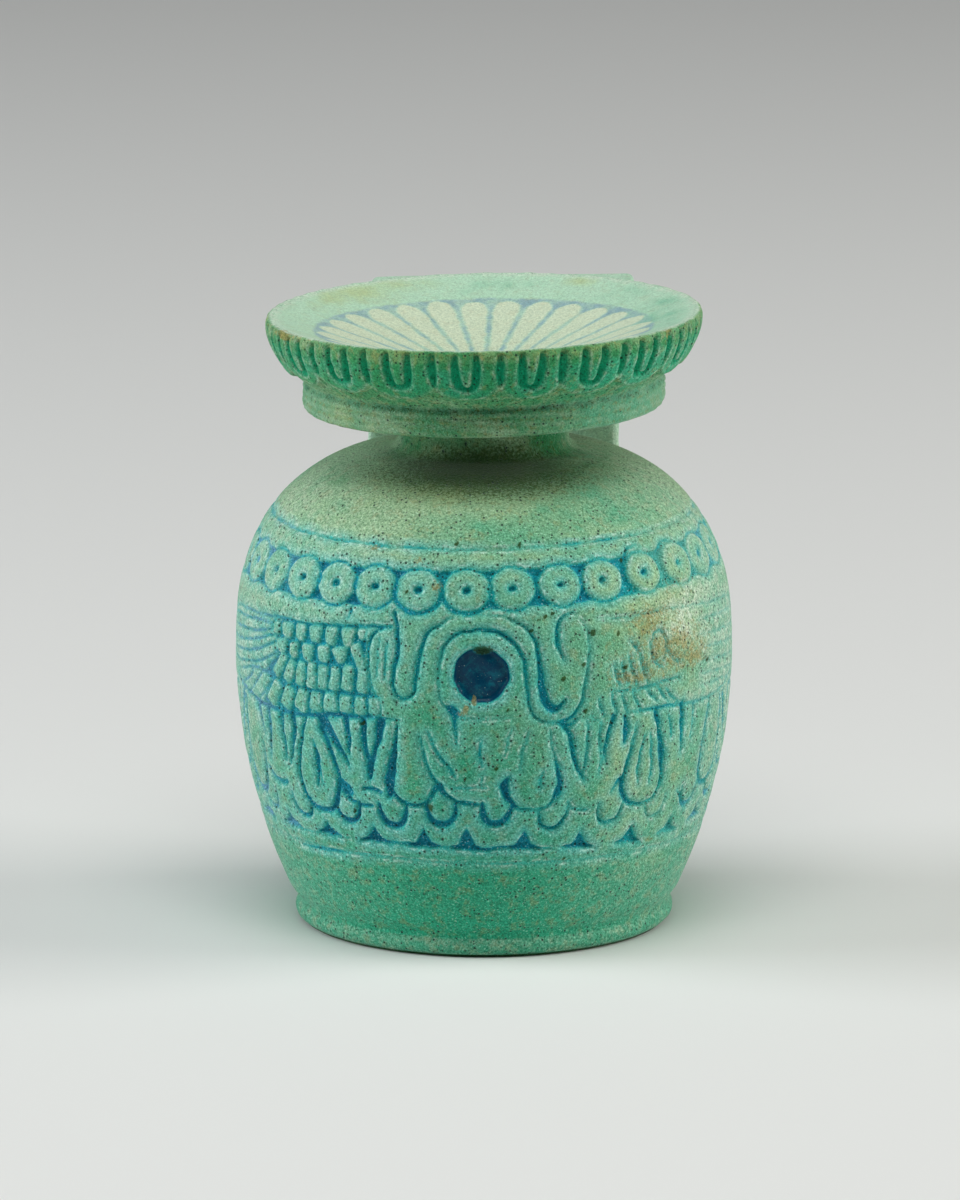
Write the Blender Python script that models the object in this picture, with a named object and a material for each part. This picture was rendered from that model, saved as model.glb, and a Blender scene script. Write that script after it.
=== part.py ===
"""A small faience oil flask with a broad, dished mouth, a strap handle and a carved belly.

Axes: +Z up, the underside at Z 0, the axis of the body on Z. The winged disc faces -Y, the handle is at +Y.
Sizes are in millimetres until the mesh is made, which is in metres. Angles round the girth are in degrees,
0 at the front and positive towards +X. A route or loop of the carving is a run of (angle, height) pairs.
"""
import math

import bmesh
import bpy
import numpy as np
from mathutils import Vector
from mathutils.geometry import delaunay_2d_cdt

MM = 0.001

# The turned outside, from the foot up
BODY_HEIGHT = 51.4
NECK_LENGTH = 4.5
COLLAR_LENGTH = 3.1
MOUTH_LENGTH = 7.0
BELLY_RADIUS = 26.65
BELLY_HEIGHT = 29.6
LOWER_DRAFT = 7.45
FOOT_EDGE = 1.9
FOOT_CHAMFER = 0.5
NECK_RADIUS = 9.1
NECK_FILLET = 1.3
COLLAR_RADIUS = 19.4
COLLAR_EDGE = 0.8
MOUTH_FLARE = 3.95
LIP_DROP = 1.0
LIP_THICKNESS = 0.9
SHOULDER_BEND = 2.55
SHOULDER_CLOSE = 0.51
MOUTH_BEND = 1.6
MOUTH_CLOSE = 0.75
MOUTH_LEAN = 1.2

# The hollow inside
DISH_DEPTH = 5.7
ORIFICE_RADIUS = 4.6
ORIFICE_ROUND = 0.6
WALL = 4.0
FLOOR = 4.5
FLOOR_ROUND = 2.5
SHOULDER_WALL = 3.6

# The strap handle behind: a plaque at the lip, and a band that bends down to the shoulder
HANDLE_WIDTH = 27.4
HANDLE_THICKNESS = 3.6
HANDLE_TURN = 3.0
HANDLE_FOOT = 0.883
HANDLE_SINK = 0.8
HANDLE_EDGE = 1.1
PLAQUE_STAND = 1.45
PLAQUE_DROP = 0.5
PLAQUE_THICKNESS = 4.0
PLAQUE_BITE = 1.0
PLAQUE_FILLET = 1.6

# Heights that follow from those
COLLAR_BOTTOM = BODY_HEIGHT + NECK_LENGTH
COLLAR_TOP = COLLAR_BOTTOM + COLLAR_LENGTH
HEIGHT = COLLAR_TOP + MOUTH_LENGTH
LIP_RADIUS = COLLAR_RADIUS + MOUTH_FLARE

# Levels of the carving on the body, as shares of the body's height
CARVED_FROM = 0.185
SCALLOP_FOOT = 0.251
CUSP_LEVEL = 0.287
BEAD_LEVEL = 0.322
CUP_FOOT = 0.331
BUD_FOOT = 0.337
BUD_WAIST = 0.38
LOTUS_TOP = 0.514
WING_FOOT = 0.525
FEATHER_ENDS = (0.706, 0.664, 0.627, 0.567, 0.528)
WING_TOP = 0.714
DISC_LEVEL = 0.623
ROUNDEL_LEVEL = 0.794
SHOULDER_LINE = 0.872
CARVED_TO = 0.9

# Levels of the leaves on the mouth, as shares of its height above the collar
LEAF_TIP = 0.165
LEAF_CUSP = 0.372

# Repeats round the girth, with the angle of the first of each
ROUNDELS = 30
ROUNDEL_START = -4.5
LOTUSES = 13
BUD_START = 11.2
LEAVES = 20
LEAF_START = 4.2

# How far round from the front the smallest cuts go: the back is plainer
SHOWN = 100.0

# Sizes of the motifs
ROUNDEL_GAP = 0.46
ROUNDEL_HEIGHT = 3.9
ROUNDEL_BORDER = 0.35
ROUNDEL_PIT = 0.9
ROUNDEL_CLIMB = 0.65
DISC_RADIUS = 3.0
DISC_ANGLE = -0.7
RING_RADIUS = 4.75
BAND_RADIUS = 6.1
BEAD_WIDTH = 2.0
BEAD_HEIGHT = 2.2
GROOVE = 0.55
FLUTE = 0.95
LINE_WIDTH = 0.45
EDGE_GAP = 0.35
WALL_SLOPE = 0.13

# Depths of the carving
CUT = 0.45
BAND_CUT = 0.5
DISC_CUT = 0.9
FLUTE_CUT = 0.55
LEAF_STEP = 0.3
LINE_CUT = 0.25
WORN_CUT = 0.2

# The cobras, in degrees outwards from the disc's band and in tenths of the winged zone's height above its disc
RIGHT_LOOP = (3.0, -2.5, 3.0, 1.5)
RIGHT_HOOD_LOOP = (4.4, -1.2, 7.4, 4.1)
RIGHT_HOOD = ((12.6, 1.2), (12.2, 4.3), (10.0, 5.6))
RIGHT_THROAT = ((8.6, 6.0), (5.0, 5.4), (4.2, 4.1), (4.8, 2.7), (6.6, 1.2))
LEFT_LOOP = (4.6, -1.4, 3.0, 1.4)
LEFT_THROAT = ((6.6, 1.9), (7.0, 5.0))
LEFT_HOOD_LOOP = (10.6, 2.5, 3.4, 2.4)
LEFT_HOOD = ((13.2, -1.0), (12.0, -2.9))
LEFT_RIBS = (11.4, 9.4)

# The left wing's rows of feathers: the first one's angle, how many, their pitch, and the gap between them
FEATHER_ROWS = ((-31.8, 6, 4.9, 0.4), (-30.4, 6, 4.9, 0.4), (-29.2, 8, 3.7, 0.3), (-28.0, 8, 4.3, 0.35))
WING_ROOT = -28.0
WING_BEND = -56.0
WING_END = -88.0
FLIGHT_FEATHERS = 7

# The right wing's worn grooves: the first one's angle, how many, and their pitch
WORN_ROWS = ((36.0, 5, 6.2), (33.0, 6, 4.6))
WORN_FLIGHTS = 4

# How fine the mesh is
COLUMNS = 40
INNER_COLUMNS = 20
BODY_ROW_GAP = 3.8
MOUTH_ROW_GAP = 3.0


def level(share):
    """A level of the carving, in millimetres above the underside."""
    return share * BODY_HEIGHT


def closing(share):
    """How a full rounded shoulder draws in, from 1 at its foot to 0 at its top."""
    return (1.0 - np.clip(share, 0.0, 1.0) ** SHOULDER_BEND) ** SHOULDER_CLOSE


def body_radius(height):
    """Radius of the body: a parabola below the belly, a full rounded shoulder above it."""
    below = np.clip((BELLY_HEIGHT - height) / BELLY_HEIGHT, 0.0, 1.0)
    lower = BELLY_RADIUS - LOWER_DRAFT * below ** 2
    shoulder = closing((height - BELLY_HEIGHT) / (BODY_HEIGHT - BELLY_HEIGHT))
    upper = NECK_RADIUS + (BELLY_RADIUS - NECK_RADIUS) * shoulder
    return np.where(height < BELLY_HEIGHT, lower, upper)


def hollow_radius(height):
    """Radius of the hollow: the body's less its wall, then a shoulder that closes in to the orifice."""
    top = BODY_HEIGHT - SHOULDER_WALL
    shoulder = closing((height - BELLY_HEIGHT) / (top - BELLY_HEIGHT))
    upper = ORIFICE_RADIUS + (BELLY_RADIUS - WALL - ORIFICE_RADIUS) * shoulder
    return np.where(height < BELLY_HEIGHT, body_radius(height) - WALL, upper)


def mouth_radius(height):
    """Radius of the fluted mouth, swelling from the collar to the lip."""
    lip = HEIGHT - LIP_DROP
    fall = np.clip((lip - height) / (lip - COLLAR_TOP), 0.0, 1.0)
    return COLLAR_RADIUS + MOUTH_FLARE * (1.0 - fall ** MOUTH_BEND) ** MOUTH_CLOSE


def dish_height(radius):
    """Height of the dish's surface, a shallow funnel down to the orifice."""
    inner_lip = LIP_RADIUS - LIP_THICKNESS
    return HEIGHT - DISH_DEPTH * (inner_lip - radius) / (inner_lip - ORIFICE_RADIUS)


def degrees_wide(width, height):
    """The angle that a width takes on the girth at a height."""
    return math.degrees(width / float(body_radius(height)))


class Shell:
    """Points and faces of the vessel, in millimetres, gathered ring by ring."""

    def __init__(self):
        self.points = []
        self.faces = []

    def add(self, points):
        first = len(self.points)
        self.points.extend(tuple(point) for point in points)
        return list(range(first, first + len(points)))

    def ring(self, radius, height, columns=COLUMNS):
        angles = np.radians(np.arange(columns) * 360.0 / columns)
        return self.add(np.stack([radius * np.sin(angles), -radius * np.cos(angles),
                                  np.full(columns, height)], axis=1))

    def bridge(self, lower, upper):
        """Faces between two rings that have equal counts, or one that has twice the other's."""
        if len(lower) == len(upper):
            count = len(lower)
            for i in range(count):
                j = (i + 1) % count
                self.faces.append((lower[i], lower[j], upper[j], upper[i]))
            return
        dense, sparse = (lower, upper) if len(lower) > len(upper) else (upper, lower)
        for i in range(len(sparse)):
            j = (i + 1) % len(sparse)
            a, b, c = dense[2 * i], dense[2 * i + 1], dense[(2 * i + 2) % len(dense)]
            self.faces.append((a, b, sparse[i]))
            self.faces.append((b, c, sparse[j]))
            self.faces.append((b, sparse[j], sparse[i]))

    def turned(self, start, profile, columns=COLUMNS):
        """Carry a ring along a profile of (radius, height) pairs and return the last ring."""
        last = start
        for radius, height in profile:
            ring = self.ring(radius, height, columns)
            self.bridge(last, ring)
            last = ring
        return last


class Relief:
    """Carving drawn on an unrolled surface, as loops of (angle, height), and cut in the order drawn."""

    def __init__(self, radius_at, low, high):
        self.radius_at = radius_at
        self.low = low
        self.high = high
        self.scale = float(radius_at(0.5 * (low + high)))
        self.lines = []
        self.steps = []

    def flat(self, points):
        """Map angle and height onto a flat ring that keeps shapes, so that the girth has no seam."""
        points = np.asarray(points, dtype=float)
        spread = np.exp((points[:, 1] - self.low) / self.scale)
        angles = np.radians(points[:, 0])
        return np.stack([spread * np.cos(angles), spread * np.sin(angles)], axis=1)

    def unflat(self, points):
        spread = np.hypot(points[:, 0], points[:, 1])
        angles = np.degrees(np.arctan2(points[:, 1], points[:, 0]))
        return np.stack([angles, self.low + self.scale * np.log(spread)], axis=1)

    def swell(self, points, amount):
        """A loop moved outwards by an amount, in millimetres on the surface."""
        points = np.asarray(points, dtype=float)
        per_degree = math.radians(1.0) * float(self.radius_at(points[:, 1].mean()))
        flat = points * (per_degree, 1.0)
        ahead = np.roll(flat, -1, axis=0) - flat
        ahead /= np.linalg.norm(ahead, axis=1)[:, None]
        normal = np.stack([ahead[:, 1], -ahead[:, 0]], axis=1)
        turn = normal + np.roll(normal, 1, axis=0)
        turn /= np.maximum((turn ** 2).sum(axis=1), 0.5)[:, None] / 2.0
        area = (flat[:, 0] * np.roll(flat[:, 1], -1) - flat[:, 1] * np.roll(flat[:, 0], -1)).sum()
        return (flat + turn * amount * (1.0 if area > 0.0 else -1.0)) / (per_degree, 1.0)

    def draw(self, points, closed=True):
        self.lines.append((self.flat(points), closed))

    def cut(self, loops, depth):
        """Sink what lies inside the loops, which count as holes in one another."""
        for loop in loops:
            self.draw(loop)
        self.steps.append(([self.flat(loop) for loop in loops], depth))

    def recess(self, loop, depth, slope=WALL_SLOPE):
        """A flat-floored hollow with steep walls."""
        self.cut([loop], depth)
        self.draw(self.swell(loop, -slope))

    def island(self, loop, slope=WALL_SLOPE):
        """A patch that is left at the surface inside a sunk field."""
        self.draw(loop)
        self.draw(self.swell(loop, slope))
        self.steps.append(([self.flat(loop)], None))

    def groove(self, route, width, depth):
        """A V-shaped groove along a route, tapered to a point at both ends."""
        route = np.asarray(route, dtype=float)
        per_degree = math.radians(1.0) * float(self.radius_at(route[:, 1].mean()))
        flat = route * (per_degree, 1.0)
        ahead = np.gradient(flat, axis=0)
        ahead /= np.linalg.norm(ahead, axis=1)[:, None]
        side = np.stack([-ahead[:, 1], ahead[:, 0]], axis=1)[1:-1] * width / 2.0
        inner = flat[1:-1]
        loop = np.concatenate([flat[:1], inner + side, flat[-1:], (inner - side)[::-1]])
        self.cut([loop / (per_degree, 1.0)], depth)
        self.draw(route[1:-1], closed=False)

    def ring_groove(self, height_at, width, depth):
        """A V-shaped groove all round, at a height that may vary with the angle."""
        self.cut([all_round(height_at, -width / 2.0), all_round(height_at, width / 2.0)], depth)
        self.draw(all_round(height_at))

    def depth_at(self, points):
        """Depth of the carving at flat points: each step repaints what it covers."""
        depth = np.zeros(len(points))
        for loops, cut in self.steps:
            inside = np.zeros(len(points), dtype=bool)
            on_line = np.zeros(len(points), dtype=bool)
            for loop in loops:
                crossed, touched = loop_state(points, loop)
                inside ^= crossed
                on_line |= touched
            if cut is None:
                depth[inside | on_line] = 0.0
            else:
                depth[inside & ~on_line] = cut
        return depth


def loop_state(points, loop):
    """Whether each point is inside a flat loop, and whether it lies on its line."""
    box = np.concatenate([loop.min(axis=0) - 0.01, loop.max(axis=0) + 0.01])
    near = (points[:, 0] > box[0]) & (points[:, 1] > box[1]) & (points[:, 0] < box[2]) & (points[:, 1] < box[3])
    inside = np.zeros(len(points), dtype=bool)
    touched = np.zeros(len(points), dtype=bool)
    chosen = points[near][:, None, :]
    start = loop[None]
    end = np.roll(loop, -1, axis=0)[None]
    run = end - start
    between = (start[..., 1] > chosen[..., 1]) != (end[..., 1] > chosen[..., 1])
    rise = np.where(np.abs(run[..., 1]) < 1e-12, 1e-12, run[..., 1])
    cross = start[..., 0] + (chosen[..., 1] - start[..., 1]) / rise * run[..., 0]
    inside[near] = ((chosen[..., 0] < cross) & between).sum(axis=1) % 2 == 1
    share = ((chosen - start) * run).sum(axis=2) / np.maximum((run ** 2).sum(axis=2), 1e-12)
    foot = start + np.clip(share, 0.0, 1.0)[..., None] * run
    touched[near] = (((chosen - foot) ** 2).sum(axis=2) < 2e-5 ** 2).any(axis=1)
    return inside, touched


def carved_patch(shell, relief, row_gap):
    """The carved part of the shell: its drawn lines triangulated and set on the turned surface."""
    angles = np.arange(COLUMNS) * 360.0 / COLUMNS
    ends = [relief.flat(np.stack([angles, np.full(COLUMNS, height)], axis=1))
            for height in (relief.low, relief.high)]
    points = [Vector(point) for end in ends for point in end]
    edges = [(side * COLUMNS + i, side * COLUMNS + (i + 1) % COLUMNS)
             for side in (0, 1) for i in range(COLUMNS)]
    for line, closed in relief.lines:
        first = len(points)
        points.extend(Vector(point) for point in line)
        edges.extend((first + i, first + i + 1) for i in range(len(line) - 1))
        if closed:
            edges.append((first + len(line) - 1, first))
    drawn = np.array([tuple(point) for point in points])
    rows = max(1, int((relief.high - relief.low) / row_gap))
    for row in range(1, rows):
        height = relief.low + (relief.high - relief.low) * row / rows
        spread = math.exp((height - relief.low) / relief.scale)
        clear = 0.4 * row_gap * spread / relief.scale
        grid = relief.flat(np.stack([angles, np.full(COLUMNS, height)], axis=1))
        gap = np.sqrt(((grid[:, None, :] - drawn[None]) ** 2).sum(axis=2)).min(axis=1)
        points.extend(Vector(point) for point in grid[gap > clear])
    found, _, triangles, origins, _, _ = delaunay_2d_cdt(points, edges, [], 0, 1e-6)
    flat = np.array([tuple(point) for point in found])
    place = relief.unflat(flat)
    depth = relief.depth_at(flat)
    step = 0.05
    slope = (relief.radius_at(place[:, 1] + step) - relief.radius_at(place[:, 1] - step)) / (2.0 * step)
    length = np.hypot(1.0, slope)
    radius = relief.radius_at(place[:, 1]) - depth / length
    height = place[:, 1] + depth * slope / length
    turn = np.radians(place[:, 0])
    indices = shell.add(np.stack([radius * np.sin(turn), -radius * np.cos(turn), height], axis=1))
    loops = [[0] * COLUMNS, [0] * COLUMNS]
    for index, sources in enumerate(origins):
        for source in sources:
            if source < 2 * COLUMNS:
                loops[source // COLUMNS][source % COLUMNS] = indices[index]
    hole = set(loops[0])
    for triangle in triangles:
        corners = tuple(indices[corner] for corner in triangle)
        if not hole.issuperset(corners):
            shell.faces.append(corners)
    return loops


def oval(angle, height, half_angle, half_height, corners, start=0.0):
    """A closed oval on the unrolled surface."""
    turn = np.radians(start + np.arange(corners) * 360.0 / corners)
    return np.stack([angle + half_angle * np.cos(turn), height + half_height * np.sin(turn)], axis=1)


def arc(angle, height, half_angle, half_height, start, end, count):
    """An open part of an oval, from one bearing to another."""
    turn = np.radians(np.linspace(start, end, count))
    return np.stack([angle + half_angle * np.cos(turn), height + half_height * np.sin(turn)], axis=1)


def tongue(angle, top, foot, top_half, low_half, waist, lean=0.0):
    """A petal, feather or bead that hangs from its top, widest at the waist and pointed below."""
    low = arc(angle + lean, waist, low_half, waist - foot, 180.0, 360.0, 3)
    return np.concatenate([[(angle - top_half, top)], low, [(angle + top_half, top)]])


def spaced(start, count):
    """The angles of copies set evenly round the girth, from -180 to 180."""
    pitch = 360.0 / count
    return [(start + pitch * i + 180.0) % 360.0 - 180.0 for i in range(count)]


def all_round(height_at, offset=0.0):
    """A loop right round the girth, at a height that may vary with the angle."""
    angles = np.arange(COLUMNS) * 360.0 / COLUMNS
    return np.stack([angles, height_at(angles) + offset], axis=1)


def roundel_height(angle):
    """The middle of the roundel band, which climbs a little towards +X, as the hand-cut one does."""
    return level(ROUNDEL_LEVEL) + ROUNDEL_CLIMB * np.sin(np.radians(angle))


def carve_roundels(relief):
    """A sunk band that holds a row of pierced roundels."""
    half = ROUNDEL_HEIGHT / 2.0
    edge = half + ROUNDEL_BORDER
    relief.cut([all_round(roundel_height, -edge), all_round(roundel_height, edge)], BAND_CUT)
    half_angle = (360.0 / ROUNDELS - degrees_wide(ROUNDEL_GAP, level(ROUNDEL_LEVEL))) / 2.0
    pit_angle = degrees_wide(ROUNDEL_PIT, level(ROUNDEL_LEVEL)) / 2.0
    for angle in spaced(ROUNDEL_START, ROUNDELS):
        height = float(roundel_height(angle))
        relief.island(oval(angle, height, half_angle / math.cos(math.pi / 8.0), half, 8, 22.5))
        if abs(angle) < SHOWN:
            relief.cut([oval(angle, height, pit_angle, ROUNDEL_PIT / 2.0, 4)], CUT)
            relief.draw([(angle, height)], closed=False)


def carve_disc(relief):
    """The sun disc: a deep round recess inside a plain ring."""
    height = level(DISC_LEVEL)
    relief.recess(oval(DISC_ANGLE, height, degrees_wide(DISC_RADIUS, height), DISC_RADIUS, 14), DISC_CUT)
    relief.groove(arc(DISC_ANGLE, height, degrees_wide(RING_RADIUS, height), RING_RADIUS, 232.0, -28.0, 16),
                  GROOVE, CUT)


def carve_cobras(relief):
    """Two cobras: each body follows the ring, loops beside the disc and turns up into its hood."""
    height = level(DISC_LEVEL)
    tenth = (level(WING_TOP) - level(WING_FOOT)) / 10.0
    band = degrees_wide(BAND_RADIUS, height)
    top = level(ROUNDEL_LEVEL) - ROUNDEL_HEIGHT / 2.0 - 2.0 * ROUNDEL_BORDER - height

    def loop(side, sizes, start, end, count):
        out, up, half, rise = sizes
        return arc(DISC_ANGLE + side * (band + out), height + up * tenth, half, rise * tenth, start, end, count)

    def route(side, pairs):
        return [(DISC_ANGLE + side * (band + out), height + up * tenth) for out, up in pairs]

    body = arc(DISC_ANGLE, height, band, top, 40.0, -20.0, 6)
    relief.groove(np.concatenate([body, loop(1.0, RIGHT_LOOP, 190.0, 330.0, 5)]), 1.3 * GROOVE, CUT)
    hood = [loop(1.0, RIGHT_HOOD_LOOP, 205.0, 340.0, 9), route(1.0, RIGHT_HOOD)]
    relief.groove(np.concatenate(hood), GROOVE, CUT)
    relief.groove(route(1.0, RIGHT_THROAT), GROOVE, CUT)
    body = arc(DISC_ANGLE, height, band, top, 142.0, 190.0, 5)
    throat = [body, loop(-1.0, LEFT_LOOP, -20.0, -160.0, 5), route(-1.0, LEFT_THROAT)]
    relief.groove(np.concatenate(throat), GROOVE, CUT)
    hood = [loop(-1.0, LEFT_HOOD_LOOP, 50.0, 190.0, 7), route(-1.0, LEFT_HOOD)]
    relief.groove(np.concatenate(hood), GROOVE, CUT)
    for out in LEFT_RIBS:
        relief.groove(route(-1.0, [(out, 3.4), (out, 1.0), (out, -1.2)]), 0.8 * GROOVE, 0.8 * CUT)


def feather_swing(angle):
    """How far a feather's lower end swings out, in degrees, growing towards the wing's bend."""
    return 9.0 * max(0.0, (WING_ROOT - angle - 14.0) / 21.0) ** 1.5


def carve_left_wing(relief):
    """The wing in a sunk field: four rows of short feathers, then long ones out to the tip."""
    top = level(WING_TOP)
    foot = level(WING_FOOT)
    fall = 0.12 * (top - foot)
    upper = [(angle, top - EDGE_GAP + 0.02 * (angle - WING_ROOT))
             for angle in np.linspace(WING_END + 2.0, WING_ROOT, 5)]
    lower = [(angle, foot + 0.01 * (angle - WING_ROOT))
             for angle in np.linspace(WING_ROOT - 10.0, WING_END + 24.0, 3)]
    tip = [(WING_END + 10.0, foot + 0.2 * fall), (WING_END, foot + 2.6 * fall),
           (WING_END - 3.0, foot + 5.2 * fall)]
    root = [(WING_ROOT - 0.6, foot + 1.6 * fall), (WING_ROOT + 3.0, foot + 0.4 * fall)]
    relief.cut([np.array(upper + root + lower + tip)], CUT)
    for row, (first, count, pitch, gap) in enumerate(FEATHER_ROWS):
        high = level(FEATHER_ENDS[row]) - (EDGE_GAP if row else 0.0)
        low = level(FEATHER_ENDS[row + 1])
        half = (pitch - degrees_wide(gap, low)) / 2.0
        for i in range(count):
            angle = first - pitch * i
            drop = 0.02 * (WING_ROOT - angle)
            waist = low - drop + 0.35 * (high - low)
            swing = feather_swing(angle) * (high - low) / 3.0
            relief.island(tongue(angle, high - drop, low - drop, half, 0.9 * half, waist, -swing))
    step = (level(FEATHER_ENDS[0]) - level(FEATHER_ENDS[3])) / FLIGHT_FEATHERS
    for i in range(FLIGHT_FEATHERS):
        near = level(FEATHER_ENDS[0]) - EDGE_GAP - step * (i + 1.0)
        far = near - EDGE_GAP * 2.5
        start = WING_BEND - 5.0 - 5.0 * (i / FLIGHT_FEATHERS) ** 2
        end = WING_END + 2.5 + 5.0 * (i / FLIGHT_FEATHERS) ** 3
        middle = (start + end) / 2.0
        half = 0.35 * step
        relief.island([(start, near), (middle, (near + far) / 2.0 - half), (end, far),
                       (middle, (near + far) / 2.0 + half)])


def carve_right_wing(relief):
    """The other wing, worn down: only shallow, slanting grooves between its feathers are left."""
    top = level(WING_TOP)
    foot = level(WING_FOOT)
    tenth = (top - foot) / 10.0
    for row, (first, count, pitch) in enumerate(WORN_ROWS):
        high = top - (3.5 + 4.1 * row) * tenth
        for i in range(count):
            angle = first + pitch * i
            relief.groove([(angle, high), (angle + 1.3, high - 1.6 * tenth), (angle + 3.4, high - 3.1 * tenth)],
                          GROOVE, WORN_CUT)
    for i in range(WORN_FLIGHTS):
        height = top - (3.0 + 1.8 * i) * tenth
        relief.groove([(-WING_BEND + 10.0, height), (-WING_BEND + 18.0, height - 0.5 * tenth),
                       (-WING_BEND + 27.0, height - 1.1 * tenth)], GROOVE, WORN_CUT)
    relief.groove([(angle, foot + 0.5 * tenth) for angle in np.linspace(-WING_ROOT, -WING_END - 8.0, 5)],
                  GROOVE, WORN_CUT)


def carve_lotuses(relief):
    """Hanging lotus buds and open flowers by turns, outlined by grooves below the wings."""
    pitch = 360.0 / LOTUSES
    top = level(LOTUS_TOP)
    waist = level(BUD_WAIST)
    under = top - EDGE_GAP
    drop = under - waist
    relief.ring_groove(lambda angles: np.full(len(angles), top), GROOVE, CUT)
    bud = 0.195 * pitch
    for angle in spaced(BUD_START, LOTUSES):
        low = arc(angle, waist, bud, waist - level(BUD_FOOT), 180.0, 360.0, 4)
        side = [(0.67 * bud, under), (0.91 * bud, waist + 0.5 * drop)]
        route = np.concatenate([[(angle - half, height) for half, height in side], low,
                                [(angle + half, height) for half, height in side[::-1]]])
        relief.groove(route, 1.5 * GROOVE, CUT)
    flower = 0.275 * pitch
    for angle in spaced(BUD_START + pitch / 2.0, LOTUSES):
        for side in (-flower, flower):
            relief.groove([(angle + side, under), (angle + 0.64 * side, under - 0.44 * drop),
                           (angle + 0.37 * side, waist + 0.14 * drop)], 2.0 * GROOVE, CUT)
            if abs(angle) < SHOWN:
                relief.groove([(angle + 0.41 * side, under), (angle + 0.34 * side, under - 0.28 * drop),
                               (angle + 0.29 * side, under - 0.52 * drop)], 0.8 * GROOVE, 0.8 * CUT)
        cup = arc(angle, waist, 0.25 * pitch, waist - level(CUP_FOOT), 190.0, 350.0, 5)
        relief.groove(cup, 1.3 * GROOVE, CUT)


def carve_beads(relief):
    """A hanging bead under each side of every bud, and pointed cuts between the scallops below."""
    count = 2 * LOTUSES
    pitch = 360.0 / count
    middle = level(BEAD_LEVEL)
    half = BEAD_HEIGHT / 2.0
    half_angle = degrees_wide(BEAD_WIDTH, middle) / 2.0
    waist = middle - 0.1 * BEAD_HEIGHT
    for angle in spaced(BUD_START + pitch / 2.0, count):
        relief.cut([tongue(angle, middle + 1.2 * half, middle - 1.4 * half, half_angle, 1.5 * half_angle,
                           waist)], CUT)
        relief.island(tongue(angle, middle + 0.85 * half, middle - half, 0.35 * half_angle, half_angle, waist),
                      1.5 * WALL_SLOPE)
    cusp = level(CUSP_LEVEL)
    foot = level(SCALLOP_FOOT)
    base = 0.3 * pitch
    for angle in spaced(BUD_START, count):
        relief.cut([[(angle, cusp), (angle - 0.4 * base, 0.5 * (cusp + foot)), (angle - base, foot),
                     (angle + base, foot), (angle + 0.4 * base, 0.5 * (cusp + foot))]], CUT)
        relief.draw([(angle, 0.25 * foot + 0.75 * cusp), (angle - 0.7 * base, foot + WALL_SLOPE),
                     (angle + 0.7 * base, foot + WALL_SLOPE)])


def carve_body(relief):
    """All of the body's carving, from the shoulder down."""
    relief.ring_groove(lambda angles: np.full(len(angles), level(SHOULDER_LINE)), LINE_WIDTH, LINE_CUT)
    carve_roundels(relief)
    carve_disc(relief)
    carve_cobras(relief)
    carve_left_wing(relief)
    carve_right_wing(relief)
    carve_lotuses(relief)
    carve_beads(relief)


def carve_leaves(relief):
    """A crown of leaves round the mouth: grooves between and within them, and a step under their tips."""
    pitch = 360.0 / LEAVES
    high = HEIGHT - LIP_DROP - WALL_SLOPE
    cusp = COLLAR_TOP + LEAF_CUSP * MOUTH_LENGTH
    tip = COLLAR_TOP + LEAF_TIP * MOUTH_LENGTH
    arm = 0.153 * pitch
    edge = []
    for angle in sorted(spaced(LEAF_START, LEAVES)):
        centre = angle + pitch / 2.0
        relief.groove([(angle, high), (angle, 0.5 * (high + cusp)), (angle, cusp + EDGE_GAP)], FLUTE, FLUTE_CUT)
        relief.groove([(centre - arm, high), (centre - arm, cusp + 2.0 * EDGE_GAP), (centre, cusp - EDGE_GAP),
                       (centre + arm, cusp + 2.0 * EDGE_GAP), (centre + arm, high)], 0.8 * FLUTE, FLUTE_CUT)
        edge.append((angle, cusp))
        edge.extend(arc(centre, tip + 0.5 * (cusp - tip), 0.41 * pitch, 0.5 * (cusp - tip), 200.0, 340.0, 3))
    edge = np.array(edge)
    base = all_round(lambda angles: np.full(len(angles), relief.low + EDGE_GAP))
    relief.cut([base, edge], LEAF_STEP)
    relief.draw(edge - (0.0, WALL_SLOPE))


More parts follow.
